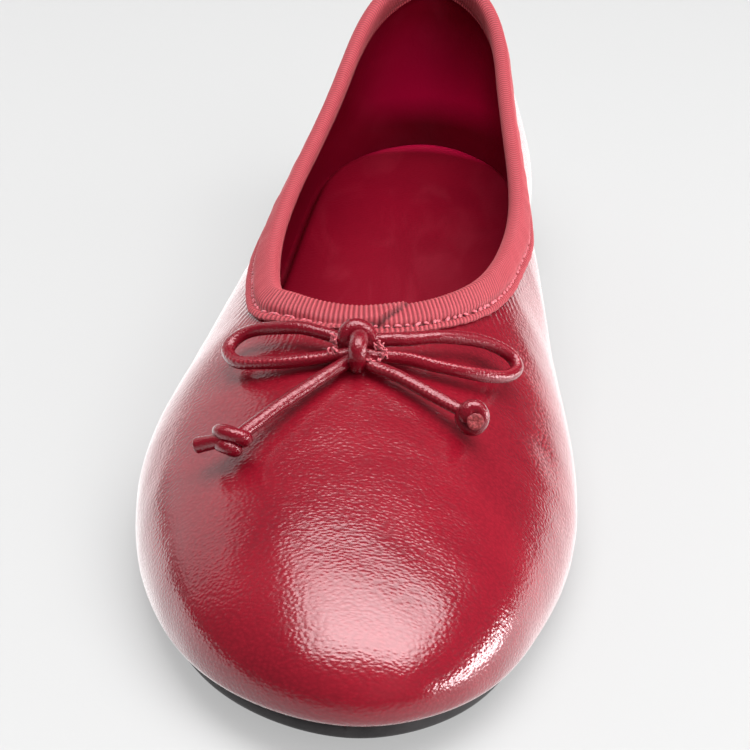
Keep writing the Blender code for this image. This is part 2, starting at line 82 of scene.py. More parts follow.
# Routes as side, forward and up from the knot's middle, in millimetres, as in the solids; their
# first and last points run on into the knot.
ROUTES = {
    "bow_loop_outer": [
        (-1.2, -0.3, 0.2), (-3.2, -0.9, 0.6), (-5.6, -1.8, 0.9), (-10.5, -3.5, 1.1),
        (-14.2, -4.7, 0.4), (-19.6, -6.8, -1.5), (-22.9, -6.4, -3.1), (-24.3, -3.9, -4.6),
        (-22.3, -0.4, -4.9), (-18.5, 1.4, -4.0), (-13.2, 2.5, -2.9), (-8.2, 2.3, -2.0),
        (-5.1, 1.8, -1.5), (-3.1, 1.5, -1.2), (-1.0, 1.0, -0.9),
    ],
    "bow_loop_inner": [
        (1.2, -1.1, 0.3), (3.2, -1.6, 0.6), (5.8, -1.9, 0.8), (8.5, -2.4, 0.8), (14.2, -4.9, 0.5),
        (20.0, -8.1, -1.2), (24.0, -9.9, -3.1), (27.2, -10.2, -5.2), (28.3, -8.3, -6.6),
        (26.7, -5.2, -6.6), (23.4, -2.1, -5.3), (18.5, 0.3, -3.5), (12.7, 1.1, -2.1),
        (8.8, 1.0, -1.4), (5.6, 1.1, -1.2), (3.2, 1.3, -1.2), (1.0, 1.2, -1.0),
    ],
    "bow_tail_outer": [
        (-1.2, 2.4, -1.5), (-2.8, 4.4, -1.9), (-6.0, 8.1, -2.7), (-10.1, 12.7, -4.1),
        (-13.8, 16.8, -5.5), (-16.9, 20.5, -6.8),
        (-18.7, 23.0, -7.4), (-20.0, 23.8, -7.6), (-21.85, 23.8, -8.05), (-23.8, 23.15, -8.95),
        (-25.8, 22.6, -9.85),
    ],
    "bow_tail_inner": [
        (-2.6, 0.2, -2.2), (-0.8, 1.8, -1.8), (1.4, 2.9, -1.5), (2.9, 4.0, -1.8), (7.3, 6.0, -2.3),
        (12.5, 8.8, -3.5), (17.6, 11.2, -4.8),
        (20.2, 12.3, -5.7), (21.2, 13.8, -5.8), (21.7, 15.3, -5.4), (21.8, 16.7, -4.7),
    ],
    "bow_knot_front": [
        (-0.1, 2.2, -2.9), (-0.1, 3.9, -1.5), (0.0, 4.8, 0.3), (0.0, 4.3, 1.7),
        (0.0, 2.7, 2.3), (-0.1, 0.6, 1.9), (-0.2, -1.1, 0.8),
    ],
    "bow_knot_back": [
        (-2.0, -1.5, -2.0), (-2.5, -1.1, -0.2), (-2.6, -1.2, 1.4), (-1.9, -1.8, 2.5),
        (-0.7, -2.2, 2.7), (0.6, -2.2, 2.2), (1.6, -1.8, 1.2), (2.1, -1.8, -0.2),
        (2.0, -2.1, -1.8),
    ],
}
# Each cord's radius, the angle in radians at which its seam lies, and the solids it stands for.
CORDS = {
    "bow_loop_outer": (CORD_DIAMETER / 2, 0.5, ("bow_loop_outer",)),
    "bow_loop_inner": (CORD_DIAMETER / 2, 5.6, ("bow_loop_inner",)),
    "bow_tail_outer": (CORD_DIAMETER / 2, 0.7, ("bow_tail_outer", "tail_end_outer")),
    "bow_tail_inner": (CORD_DIAMETER / 2, 0.7, ("bow_tail_inner", "tail_end_inner")),
    "tail_knot_outer": (0.00134, 2.6, ("tail_knot_outer",)),
    "tail_knot_inner": (0.00134, 0.5, ("tail_knot_inner",)),
    "bow_knot_front": (0.00166, 2.6, ("bow_knot",)),
    "bow_knot_back": (0.00160, 2.6, ()),
}
# The free ones, with the piece that each is tied off in.
FREE_CORDS = {
    "bow_loop_outer": None, "bow_loop_inner": None,
    "bow_tail_outer": "tail_knot_outer", "bow_tail_inner": "tail_knot_inner",
}
# Each tail knot: its middle as above, two directions that its turns lie in, how far and which way
# it climbs, its radii in both directions at its start and its end, and its angles there.
TAIL_KNOTS = {
    "tail_knot_outer": (
        (-19.85, 23.36, -8.16), (0.99, 0.16, 0.06), (0.06, 0.89, 0.46), (-1.10, 1.55, -4.10),
        ((3.1, 0.9), (1.75, 1.4)), (270, -450),
    ),
    "tail_knot_inner": (
        (21.15, 13.35, -5.52), (1.00, -0.08, 0.03), (-0.07, -0.45, 0.89), (0.16, 2.40, 1.23),
        ((1.95, 1.45), (2.35, 1.6)), (100, 545),
    ),
}
# The middles that the turns of each knot go round.
KNOT_MIDDLES = {name: knot[0] for name, knot in TAIL_KNOTS.items()}
KNOT_MIDDLES |= {"bow_knot_front": (0.0, 0.4, -1.2), "bow_knot_back": (0.0, 0.4, -1.2)}


def bow_places(points):
    """Places in metres from points given about the knot's middle."""
    return BOW_MIDDLE + np.array(points, float) * np.array([MM, -MM, MM])


def smooth_path(points):
    """Even points on the curve through the given ones: between two of them it is the cubic whose
    ends point along the line from the point before to the point after."""
    points = np.array(points, float)
    before = np.vstack([2 * points[0] - points[1], points[:-1]])
    after = np.vstack([points[1:], 2 * points[-1] - points[-2]])
    slope = (after - before) / 2
    t = np.linspace(0, 1, 60, endpoint=False)[None, :, None]
    fine = (
        (2 * t**3 - 3 * t**2 + 1) * points[:-1, None]
        + (t**3 - 2 * t**2 + t) * slope[:-1, None]
        + (3 * t**2 - 2 * t**3) * points[1:, None]
        + (t**3 - t**2) * slope[1:, None]
    ).reshape(-1, 3)
    fine = np.vstack([fine, points[-1:]])
    run = lengths_along(fine)
    even = np.linspace(0, run[-1], max(2, round(run[-1] / CORD_STEP) + 1))
    return np.stack([np.interp(even, run, fine[:, k]) for k in range(3)], axis=1)


def lengths_along(path):
    """The length run at each point of a path, from 0 at its first."""
    return np.concatenate([[0], np.cumsum(np.linalg.norm(np.diff(path, axis=0), axis=1))])


def smooth_step(x):
    """0 below 0, 1 above 1, and a smooth rise between."""
    x = np.clip(x, 0, 1)
    return x * x * (3 - 2 * x)


def bell(x, middle, width):
    """A bell curve: 1 where x is at the middle, and 0.37 where it is a width away from it."""
    return np.exp(-(((x - middle) / width) ** 2))


def unit(vectors):
    """The same directions, one long."""
    return vectors / np.linalg.norm(vectors, axis=-1, keepdims=True)


def carry(path, across, out, reference):
    """A profile carried along a path. Each row is the path's point plus across times the sideways
    direction plus out times the outward one, both square to the path; out lies nearest to the
    reference direction. across and out are given by row and column."""
    ahead = unit(np.gradient(path, axis=0))
    sideways = unit(np.cross(ahead, reference))
    outward = np.cross(sideways, ahead)
    return path[:, None] + sideways[:, None] * across[..., None] + outward[:, None] * out[..., None]


def add_piece(name, grid, wrap_rows=False, caps=False, uv=None, fields=None):
    """One closed piece from a grid of points [row, column]: four-cornered faces between
    neighbours, closed round the columns, and over the rows where asked or with caps on the first
    and last one. A grid of [copy, row, column] gives one such shape for each copy. The UV map
    holds a length by row and one by column; fields are stored by point."""
    rows, columns = grid.shape[-3:-1]
    points = grid.reshape(-1, 3)
    copies = len(points) // (rows * columns)
    r = np.arange(rows if wrap_rows else rows - 1)
    r, c = (a.ravel() for a in np.meshgrid(r, np.arange(columns), indexing="ij"))
    corner_r = np.stack([r, r, r + 1, r + 1], axis=1)
    corner_c = np.stack([c, c + 1, c + 1, c], axis=1)
    quads = (corner_r % rows) * columns + corner_c % columns
    a, b, d, e = (points[quads[:, k]] - points[0] for k in range(4))
    volume = np.sum(a * np.cross(b, d)) + np.sum(a * np.cross(d, e))
    faces = [quads]
    corner_uv = [(corner_r, corner_c)]
    if caps:
        ring = np.arange(columns)
        faces += [ring[None, ::-1], (rows - 1) * columns + ring[None]]
        corner_uv += [(0 * ring[None], ring[None, ::-1]), (0 * ring[None] + rows - 1, ring[None])]
    if volume < 0:
        faces = [f[:, ::-1] for f in faces]
        corner_uv = [(x[:, ::-1], y[:, ::-1]) for x, y in corner_uv]
    first = np.arange(copies)[:, None] * (rows * columns)
    corners = (first + np.concatenate([f.ravel() for f in faces])[None]).ravel()
    totals = np.tile(np.concatenate([np.full(len(f), f.shape[1]) for f in faces]), copies)
    mesh = bpy.data.meshes.new(name)
    mesh.vertices.add(len(points))
    mesh.vertices.foreach_set("co", points.astype(np.float32).ravel())
    mesh.loops.add(len(corners))
    mesh.loops.foreach_set("vertex_index", corners.astype(np.int32))
    mesh.polygons.add(len(totals))
    starts = np.concatenate([[0], np.cumsum(totals)[:-1]])
    mesh.polygons.foreach_set("loop_start", starts.astype(np.int32))
    if uv is not None:
        along = np.tile(np.concatenate([x.ravel() for x, _ in corner_uv]), copies)
        round_it = np.tile(np.concatenate([y.ravel() for _, y in corner_uv]), copies)
        layer = mesh.uv_layers.new(name="lengths")
        pairs = np.stack([uv[0][along], uv[1][round_it]], axis=1)
        layer.data.foreach_set("uv", pairs.astype(np.float32).ravel())
    for label, values in (fields or {}).items():
        store = mesh.attributes.new(label, "FLOAT", "POINT")
        store.data.foreach_set("value", np.asarray(values, np.float32).ravel())
    mesh.update(calc_edges=True)
    mesh.validate()
    mesh.shade_smooth()
    mesh.set_sharp_from_angle(angle=math.radians(50))
    piece = bpy.data.objects.new(name, mesh)
    bpy.context.scene.collection.objects.link(piece)
    return piece


def finish_piece(piece, material, replaced=()):
    """Gives a piece its material and its slot, and ties it to the shoe."""
    piece.data.materials.append(material)
    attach(piece, "root")
    if replaced:
        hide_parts(*replaced)


def sewn_cord(name, path, reference, radius, seam_angle, cut_end=False):
    """A round cord along a path. Its radius falls slowly round the turn from the strip's free
    edge to where it comes back under it, and small round stitches stand beside that edge. The
    seam sways a little round the cord. A cut end spreads and closes with a frayed face."""
    run = lengths_along(path)
    angle = np.arange(CORD_SIDES) / CORD_SIDES * 2 * math.pi
    sway = SEAM_SWAY * np.sin(run[:, None] / SEAM_WAVE)
    turn = np.mod(angle[None] - seam_angle + sway, 2 * math.pi)
    lap = LAP_HEIGHT * np.exp(-turn / LAP_FALL) * np.clip(turn / LAP_STEP, 0, 1)
    beside = bell(turn, STITCH_AT, STITCH_WIDTH)
    beat = np.clip(0.5 + 0.5 * np.cos(2 * math.pi * run / SEAM_PITCH), 0, 1)[:, None] ** 0.7
    stitch = STITCH_HEIGHT * beside * (beat - 0.45)
    wave = CORD_WAVE * np.sin(run[:, None] / CORD_WAVE_LENGTH + 2 * angle[None])
    ring = radius + lap + stitch + wave
    if cut_end:
        to_end = np.clip((run[-1] - run) / CUT_LENGTH, 0, 1)[:, None]
        ring = ring * (1 + CUT_FLARE * (1 - to_end))
    grid = carry(path, ring * np.sin(angle)[None], ring * np.cos(angle)[None], reference)
    fields = {"stitch": beside * beat, "cut": np.zeros(ring.shape)}
    if cut_end:
        share = np.array([0.985, 0.93, 0.84, 0.72, 0.58, 0.44, 0.30, 0.16, 0.05])[:, None]
        fibres = np.random.default_rng(4).uniform(-1, 1, (len(share), CORD_SIDES)) * CUT_FIBRES
        rise = CUT_DOME * (1 - share**6) - CUT_PIT * bell(share, 0, 0.45) + fibres * share
        spokes = (grid[-1] - path[-1])[None] * share[..., None]
        face = path[-1] + spokes + unit(path[-1] - path[-2]) * rise[..., None]
        grid = np.concatenate([grid, face])
        run = np.append(run, run[-1] + radius * (1 - share[:, 0]))
        cut = smooth_step((1 - share) / 0.15) * np.ones((1, CORD_SIDES))
        fields = {"stitch": np.vstack([fields["stitch"], 0 * cut]),
                  "cut": np.vstack([fields["cut"], cut])}
    lengths = (run, np.append(angle, 2 * math.pi) * radius)
    return add_piece(name, grid, caps=True, uv=lengths, fields=fields)


def threads(paths, radius, sides=8):
    """Many thin threads of equal point count [thread, point]: tubes whose radius falls to rounded
    ends as the square root of a parabola."""
    ahead = unit(np.gradient(paths, axis=1))
    sideways = unit(np.cross(ahead, [0.31, 0.22, 0.92]))
    outward = np.cross(sideways, ahead)
    t = np.linspace(-1, 1, paths.shape[1])
    wide = radius * np.sqrt(1.02 - np.abs(t) ** 5)[None, :, None, None]
    turn = (np.arange(sides) / sides * 2 * math.pi)[None, None, :, None]
    ring = sideways[:, :, None] * np.cos(turn) + outward[:, :, None] * np.sin(turn)
    return paths[:, :, None] + ring * wide


def knot_turns(middle, first, second, climb, radii, angles):
    """A helix round the cord that it ties: an ellipse in two directions, carried along its climb,
    whose radii change evenly and shrink at both ends to tuck the ends in."""
    t = np.linspace(0, 1, 200)[:, None]
    turn = np.radians(angles[0] + (angles[1] - angles[0]) * t)
    tucked = 1 - 0.5 * (2 * np.abs(t - 0.5)) ** 5
    wide, high = (tucked * (start + (end - start) * t) for start, end in radii)
    axes = [np.array(axis) * (1, -1, 1) for axis in (first, second, climb)]
    path = axes[0] * wide * np.cos(turn) + axes[1] * high * np.sin(turn)
    path = path + axes[2] * (t - 0.5) * tucked
    return smooth_path(bow_places(middle) + MM * path)


cord_paths = {name: smooth_path(bow_places(points)) for name, points in ROUTES.items()}
cord_paths |= {name: knot_turns(*knot) for name, knot in TAIL_KNOTS.items()}
cord_pieces = {}
for name, (radius, seam_angle, _) in CORDS.items():
    path = cord_paths[name]
    reference = unit(path - bow_places(KNOT_MIDDLES[name])) if name in KNOT_MIDDLES else UP
    cord_pieces[name] = sewn_cord(
        name + "_cord", path, reference, radius, seam_angle, cut_end=name.startswith("bow_tail")
    )

# Tacks: where each loop leaves the knot its two strands are caught with a few turns of thread.
TACKS = [  # middle, reach to both sides, number of threads
    ((-4.80, 0.35, 1.27), (0.70, 0.50, 1.20), 9),
    ((-4.57, 2.29, -0.34), (0.80, 0.50, 1.30), 12),
    ((3.61, 0.83, 0.54), (1.00, 0.60, 1.30), 12),
    ((4.63, 2.12, -0.14), (0.90, 0.50, 1.20), 12),
    ((2.85, 3.91, -0.97), (1.30, 0.50, 0.90), 10),
]
TACK_THREAD = 0.00017
tack_paths = []
chance = np.random.default_rng(21)
for middle, reach, count in TACKS:
    ends = chance.uniform(-1, 1, (count, 2, 3)) * reach
    ends[:, :, 1] *= 0.3
    bulge = np.array([0.0, 1.0, 0.5]) * chance.uniform(0.4, 1.0, (count, 1)) * reach[1]
    t = np.linspace(0, 1, 12)[None, :, None]
    arc = ends[:, :1] * (1 - t) + ends[:, 1:] * t + bulge[:, None] * 4 * t * (1 - t)
    arc = arc + 0.10 * np.sin(9 * t + chance.uniform(0, 6.28, (count, 1, 3)))
    tack_paths.append(bow_places(np.array(middle) + arc))
tacks = add_piece("bow_tacks", threads(np.concatenate(tack_paths), TACK_THREAD), caps=True)


def add_node(tree, kind, inputs=None, **settings):
    """One shader node with its settings and inputs; each input is a value or the output that
    feeds it."""
    made = tree.nodes.new("ShaderNode" + kind)
    for key, value in settings.items():
        setattr(made, key, value)
    for key, term in (inputs or {}).items():
        if isinstance(term, bpy.types.NodeSocket):
            tree.links.new(term, made.inputs[key])
        else:
            made.inputs[key].default_value = term
    return made


def math_node(tree, operation, first, second=0.0, third=0.0, clamp=False):
    """The output of a Math node; each term is a number or another node's output."""
    terms = {0: first, 1: second, 2: third}
    return add_node(tree, "Math", terms, operation=operation, use_clamp=clamp).outputs[0]


def noise(tree, vector, scale, detail, roughness=0.5, distortion=0.0):
    """The outputs of a Noise texture over places, at so many waves a metre."""
    return add_node(tree, "TexNoise", {
        "Vector": vector, "Scale": scale, "Detail": detail, "Roughness": roughness,
        "Distortion": distortion,
    }).outputs


def mix_colours(tree, factor, first, second):
    """The colour between two, by a factor; each colour is an RGB triple or an output."""
    first, second = ((*end, 1.0) if isinstance(end, tuple) else end for end in (first, second))
    return add_node(tree, "Mix", {0: factor, 6: first, 7: second}, data_type="RGBA").outputs[2]


def field(tree, name):
    """The value that the piece stores by point under a name."""
    return add_node(tree, "Attribute", attribute_name=name).outputs["Fac"]


def new_material(name, **shader_values):
    """A material whose Principled BSDF has the given socket values, its node tree, that shader
    and the places on the piece in metres."""
    material = bpy.data.materials.new(name)
    material.use_nodes = True
    tree = material.node_tree
    shader = tree.nodes["Principled BSDF"]
    for label, value in shader_values.items():
        shader.inputs[label.replace("_", " ")].default_value = value
    return material, tree, shader, add_node(tree, "TexCoord").outputs["Object"]


def feed(tree, shader, colour, roughness=None, height=None, depth=0.0):
    """Links what a material works out to its shader. The height, from 0 to 1, is depth high."""
    tree.links.new(colour, shader.inputs["Base Color"])
    if roughness is not None:
        tree.links.new(roughness, shader.inputs["Roughness"])
    if height is not None:
        bump = add_node(tree, "Bump", {"Height": height, "Strength": 1.0, "Distance": depth})
        tree.links.new(bump.outputs[0], shader.inputs["Normal"])


# Crinkled glazed leather: small pillows a millimetre apart with soft wavy grooves between them,
# fine pores, and slow light and dark places from the dye and from handling.
crinkle_group = bpy.data.node_groups.new("crinkled_leather", "ShaderNodeTree")
for way, sort, labels in (
    ("INPUT", "Vector", ["Vector"]),
    ("INPUT", "Float", ["Ridge Scale", "Pore Scale", "Pore Share", "Warp"]),
    ("OUTPUT", "Float", ["Height", "Ridges", "Cloud"]),
):
    for label in labels:
        crinkle_group.interface.new_socket(label, in_out=way, socket_type="NodeSocket" + sort)
given = crinkle_group.nodes.new("NodeGroupInput").outputs
put = crinkle_group.nodes.new("NodeGroupOutput").inputs
bend = add_node(crinkle_group, "VectorMath", {
    0: noise(crinkle_group, given["Vector"], 210.0, 2.0)["Color"], 1: (0.5, 0.5, 0.5),
}, operation="SUBTRACT")
bend = add_node(crinkle_group, "VectorMath", {0: bend.outputs[0], "Scale": given["Warp"]},
                operation="SCALE")
bent = add_node(crinkle_group, "VectorMath", {0: given["Vector"], 1: bend.outputs[0]},
                operation="ADD").outputs[0]
cells = add_node(crinkle_group, "TexVoronoi", {
    "Vector": bent, "Scale": given["Ridge Scale"], "Smoothness": 0.35, "Randomness": 0.9,
}, feature="SMOOTH_F1")
cells = math_node(crinkle_group, "MULTIPLY_ADD", cells.outputs["Distance"], -1.25, 1.0, clamp=True)
folds = noise(crinkle_group, bent, given["Ridge Scale"], 1.0, 0.4)["Fac"]
ridge = math_node(crinkle_group, "MULTIPLY_ADD", folds, 0.7, -0.35)
ridge = math_node(crinkle_group, "ADD", ridge, cells, clamp=True)
pores = noise(crinkle_group, given["Vector"], given["Pore Scale"], 2.0, 0.55)["Fac"]
pores = math_node(crinkle_group, "MULTIPLY", pores, given["Pore Share"])
crinkle_group.links.new(math_node(crinkle_group, "ADD", ridge, pores), put["Height"])
crinkle_group.links.new(ridge, put["Ridges"])
crinkle_group.links.new(noise(crinkle_group, given["Vector"], 46.0, 3.0)["Fac"], put["Cloud"])


def grain_of(tree, place, ridge_scale, pore_scale, pore_share, warp):
    """Crinkled leather in a material: its pillows and its pores to the metre, how deep the pores
    are beside the pillows, and how far the grooves wander, in metres."""
    return add_node(tree, "Group", {
        "Vector": place, "Ridge Scale": ridge_scale, "Pore Scale": pore_scale,
        "Pore Share": pore_share, "Warp": warp,
    }, node_tree=crinkle_group).outputs


LEATHER_RED = (0.165, 0.0028, 0.010)
LEATHER_DEEP = (0.092, 0.0012, 0.006)
# The cord stitches' lighter red is a painted highlight.
CORD_STITCH_HIGHLIGHT = (0.36, 0.045, 0.06)
CUT_DEEP, CUT_PALE = (0.10, 0.007, 0.008), (0.31, 0.042, 0.046)
cord_leather, tree, shader, place = new_material(
    "cord_leather", Specular_IOR_Level=0.66, Specular_Tint=(1.0, 0.66, 0.70, 1.0),
    Coat_Weight=0.09, Coat_Roughness=0.12,
)
grain = grain_of(tree, place, 2600.0, 5200.0, 0.4, 0.0008)
clouds = math_node(tree, "MULTIPLY", grain["Cloud"], 0.8, clamp=True)
tone = mix_colours(tree, clouds, LEATHER_DEEP, LEATHER_RED)
# Painted highlight: the stitches beside the seam are painted a lighter red, standing in for the
# glints along them.
painted_stitch_highlight = math_node(tree, "MULTIPLY", field(tree, "stitch"), 0.50, clamp=True)
tone = mix_colours(tree, painted_stitch_highlight, tone, CORD_STITCH_HIGHLIGHT)
raw = mix_colours(tree, math_node(tree, "MULTIPLY", grain["Ridges"], 0.9), CUT_DEEP, CUT_PALE)
cut = field(tree, "cut")
feed(tree, shader, mix_colours(tree, cut, tone, raw),
     math_node(tree, "MULTIPLY_ADD", cut, 0.5, 0.21), grain["Height"], 0.00006)

TACK_RED, TACK_PALE = (0.33, 0.020, 0.040), (0.48, 0.090, 0.115)
tack_thread, tree, shader, place = new_material("tack_thread", Roughness=0.45, Sheen_Weight=0.3)
strand = noise(tree, place, 1500.0, 1.0)["Fac"]
strand = math_node(tree, "MULTIPLY_ADD", strand, 2.0, -0.5, clamp=True)
feed(tree, shader, mix_colours(tree, strand, TACK_RED, TACK_PALE))
finish_piece(tacks, tack_thread)

for name, (_, _, nodes) in CORDS.items():
    finish_piece(cord_pieces[name], cord_leather, nodes)
for name, knot in FREE_CORDS.items():
    path = cord_paths[name]

# Outsole: a thin dark rubber sole with a low heel moulded on, set in from the upper's edge. Its
# underside has fine cross ribs under the ball and the heel, inside a plain border.
LENGTH = 0.243  # heel to toe along the feather line, where upper and sole meet
BALL_WIDTH = 0.080
THROAT_HEIGHT, SIDE_HEIGHT, BACK_HEIGHT = 0.0415, 0.0388, 0.0585
SOLE_THICKNESS, HEEL_SEAT_HEIGHT = 0.003, 0.010
HEEL_LENGTH, HEEL_BREAST_SLOPE = 0.056, 0.0025
TOE_SPRING, TOE_CURVE = 0.0045, 1.6
HEEL_SEAT_FRONT, BALL_REST, BALL_FRONT = 0.20, 0.64, 0.74  # shares of LENGTH
SOLE_INSET, SOLE_EDGE_ROUND = 0.0028, 0.0008
GAP = 0.0003
SHOE_SHIFT = np.array([0.001897, 0.122615, 0.0])  # from the back of the heel to the frame's origin
TREAD_DEPTH, TREAD_PITCH, TREAD_BORDER = 0.0004, 0.0026, 0.006
TREAD_BALL, TREAD_HEEL = (0.50, 0.93, 0.02), (0.045, 0.205, 0.01)  # from, to, fade: LENGTH's shares
TREAD_BEND, TREAD_MIDDLE = 9.0, 0.002  # the ribs' curve, and the side at which it turns
OUTLINE_POINTS = 2880
# The last: each row holds the foot of one line up the shoe, its top, how much of the top's height
# comes from the throat and from the back, the angle at which it leans out at its foot and at
# which it arrives at its top, and the reach of both ends' tangents, as shares of its chord.
# foot_along foot_side top_along top_side throat back lean low_reach arrive high_reach
LAST = np.array([
    (1.003, 0.060, 0.663, -0.031, 1.00, 0.00, 6, 0.17, 15, 0.46),
    (0.960, 0.273, 0.655, 0.060, 1.00, 0.00, 6, 0.17, 17, 0.43),
    (0.865, 0.406, 0.630, 0.154, 0.90, 0.00, 7, 0.20, 24, 0.40),
    (0.740, 0.478, 0.584, 0.234, 0.60, 0.00, 12, 0.23, 38, 0.32),
    (0.584, 0.434, 0.502, 0.286, 0.15, 0.00, 15, 0.33, 50, 0.30),
    (0.391, 0.335, 0.379, 0.296, 0.00, 0.05, 13, 0.38, 66, 0.36),
    (0.185, 0.325, 0.185, 0.238, 0.00, 0.36, 12, 0.38, 78, 0.33),
    (0.062, 0.244, 0.060, 0.158, 0.00, 0.80, 12, 0.37, 80, 0.33),
    (0.016, 0.000, 0.017, 0.000, 0.00, 1.00, 16, 0.36, 82, 0.32),
    (0.062, -0.244, 0.060, -0.150, 0.00, 0.80, 12, 0.37, 80, 0.33),
    (0.185, -0.338, 0.185, -0.230, 0.00, 0.35, 12, 0.38, 78, 0.33),
    (0.391, -0.375, 0.391, -0.295, 0.00, 0.02, 13, 0.38, 64, 0.36),
    (0.568, -0.454, 0.531, -0.300, 0.05, 0.00, 15, 0.38, 48, 0.38),
    (0.690, -0.524, 0.608, -0.272, 0.35, 0.00, 12, 0.34, 36, 0.42),
    (0.873, -0.417, 0.644, -0.210, 0.85, 0.00, 7, 0.23, 24, 0.43),
    (0.975, -0.197, 0.660, -0.125, 1.00, 0.00, 6, 0.18, 17, 0.44),
])


def closed_spline(knots, rows, at):
    """The periodic cubic spline through rows at knots 0 to 1, read at the parameters in at."""
    steps = np.diff(knots)
    count = len(rows)
    after = np.roll(rows, -1, axis=0)
    slopes = (after - rows) / steps[:, None]
    here = np.arange(count)
    system = np.zeros((count, count))
    system[here, here - 1] = steps[here - 1]
    system[here, here] = 2 * (steps[here - 1] + steps)
    system[here, (here + 1) % count] = steps
    bends = np.linalg.solve(system, 6 * (slopes - np.roll(slopes, 1, axis=0)))
    bends_after = np.roll(bends, -1, axis=0)
    at = np.mod(at, 1.0)
    span = np.clip(np.searchsorted(knots, at, side="right") - 1, 0, count - 1)
    width = steps[span][:, None]
    late = (at - knots[span])[:, None]
    early = width - late
    return (
        bends[span] * early**3 / (6 * width)
        + bends_after[span] * late**3 / (6 * width)
        + (rows[span] / width - bends[span] * width / 6) * early
        + (after[span] / width - bends_after[span] * width / 6) * late
    )


def sole_top(along):
    """Height of the sole's top: heel seat, falling waist, flat ball, and toe spring."""
    waist = smooth_step((BALL_REST * LENGTH - along) / ((BALL_REST - HEEL_SEAT_FRONT) * LENGTH))
    toe = np.clip((along - BALL_FRONT * LENGTH) / ((1 - BALL_FRONT) * LENGTH), 0, None)
    seat = (HEEL_SEAT_HEIGHT - SOLE_THICKNESS) * waist
    return SOLE_THICKNESS + seat + TOE_SPRING * toe**TOE_CURVE


def sole_bottom(along):
    """Height of the underside: flat under the heel, one thickness below the top elsewhere."""
    heel = 1 - smooth_step((along - HEEL_LENGTH) / HEEL_BREAST_SLOPE)
    return (sole_top(along) - SOLE_THICKNESS) * (1 - heel)


def line_values(at):
    """The columns of the last, in metres and radians, at the parameters in at."""
    table = LAST.copy()
    table[:, [0, 2]] *= LENGTH
    table[:, [1, 3]] *= BALL_WIDTH
    table[:, [6, 8]] = np.radians(table[:, [6, 8]])
    feet = np.vstack([table[:, :2], table[:1, :2]])
    run = lengths_along(feet)
    return closed_spline(run / run[-1], table, at)


def outward(foot):
    """Directions square to a closed outline of plan points, pointing out of it."""
    run = np.roll(foot, -1, axis=0) - np.roll(foot, 1, axis=0)
    normal = unit(np.stack([run[:, 1], -run[:, 0]], axis=1))
    area = np.sum(foot[:, 0] * np.roll(foot[:, 1], -1) - foot[:, 1] * np.roll(foot[:, 0], -1))
    return normal * np.sign(area)


def outline(inset, stops):
    """Left and right side of the feather outline moved in by inset, and how far along each pair
    lies: stops are shares of its length from heel to toe."""
    values = line_values(np.arange(OUTLINE_POINTS) / OUTLINE_POINTS)
    foot = np.stack([values[:, 1], -values[:, 0]], axis=1)
    foot = foot - outward(foot) * inset
    along, side = -foot[:, 1], foot[:, 0]
    toe = int(np.argmax(along))
    along, side = np.roll(along, -toe), np.roll(side, -toe)
    heel = int(np.argmin(along))
    at = along[heel] + stops * (along[0] - along[heel])
    right = np.interp(at, along[: heel + 1][::-1], side[: heel + 1][::-1])
    left = np.interp(at, np.append(along[heel:], along[0]), np.append(side[heel:], side[0]))
    return at, left, right


def plate_grid(layers, stops):
    """A plate as a grid [rung, place round its section]: each layer is an inset from the outline,
    the height of its middle by distance along, and the shares across at which it has points."""
    rungs = []
    for inset, height, across in layers:
        at, left, right = outline(inset, stops)
        side = left[:, None] + (right - left)[:, None] * across[None]
        along = np.broadcast_to(at[:, None], side.shape)
        rungs.append(np.stack([side, -along, height(along, side)], axis=-1))
    return np.concatenate(rungs, axis=1) + SHOE_SHIFT


def stops_along(count):
    """Shares from heel to toe, closer together towards both ends."""
    return (1 - np.cos(np.linspace(0, math.pi, count))) / 2


SOLE_STOPS, INSOLE_STOPS = stops_along(341), stops_along(261)
ACROSS = np.linspace(0, 1, 61)
LEFT, RIGHT = np.array([0.0]), np.array([1.0])


def tread(along, side):
    """Depth of the tread: cross ribs that curve a little, faded out towards the border, the waist
    and the toe's tip."""
    at, left, right = outline(TREAD_BORDER, SOLE_STOPS)
    inside = np.minimum(side - np.interp(along, at, left), np.interp(along, at, right) - side)
    share = along / LENGTH
    ball, heel = (
        smooth_step((share - start) / fade) * smooth_step((end - share) / fade)
        for start, end, fade in (TREAD_BALL, TREAD_HEEL)
    )
    wave = along + TREAD_BEND * (side - TREAD_MIDDLE) ** 2 * np.sign(0.5 - share)
    groove = smooth_step((np.cos(2 * math.pi * wave / TREAD_PITCH) + 0.15) / 0.5)
    return TREAD_DEPTH * groove * smooth_step(inside / 0.0012) * np.maximum(ball, heel)


# The outsole's edge from its underside up, as inset and height.
sole_side = [
    (SOLE_INSET + 0.3 * SOLE_EDGE_ROUND, lambda a, s: sole_bottom(a) + 0.3 * SOLE_EDGE_ROUND),
    (SOLE_INSET, lambda a, s: sole_bottom(a) + SOLE_EDGE_ROUND),
    (SOLE_INSET, lambda a, s: (sole_bottom(a) + sole_top(a)) / 2),
    (SOLE_INSET, lambda a, s: sole_top(a) - SOLE_EDGE_ROUND / 2),
]
sole_layers = [
    (SOLE_INSET + SOLE_EDGE_ROUND, lambda a, s: sole_bottom(a) + tread(a, s), ACROSS),
    *[(inset, height, RIGHT) for inset, height in sole_side],
    (SOLE_INSET + SOLE_EDGE_ROUND / 2, lambda a, s: sole_top(a), np.linspace(1, 0, 9)),
    *[(inset, height, LEFT) for inset, height in sole_side[::-1]],
]
outsole = add_piece("rubber_outsole", plate_grid(sole_layers, SOLE_STOPS), caps=True)

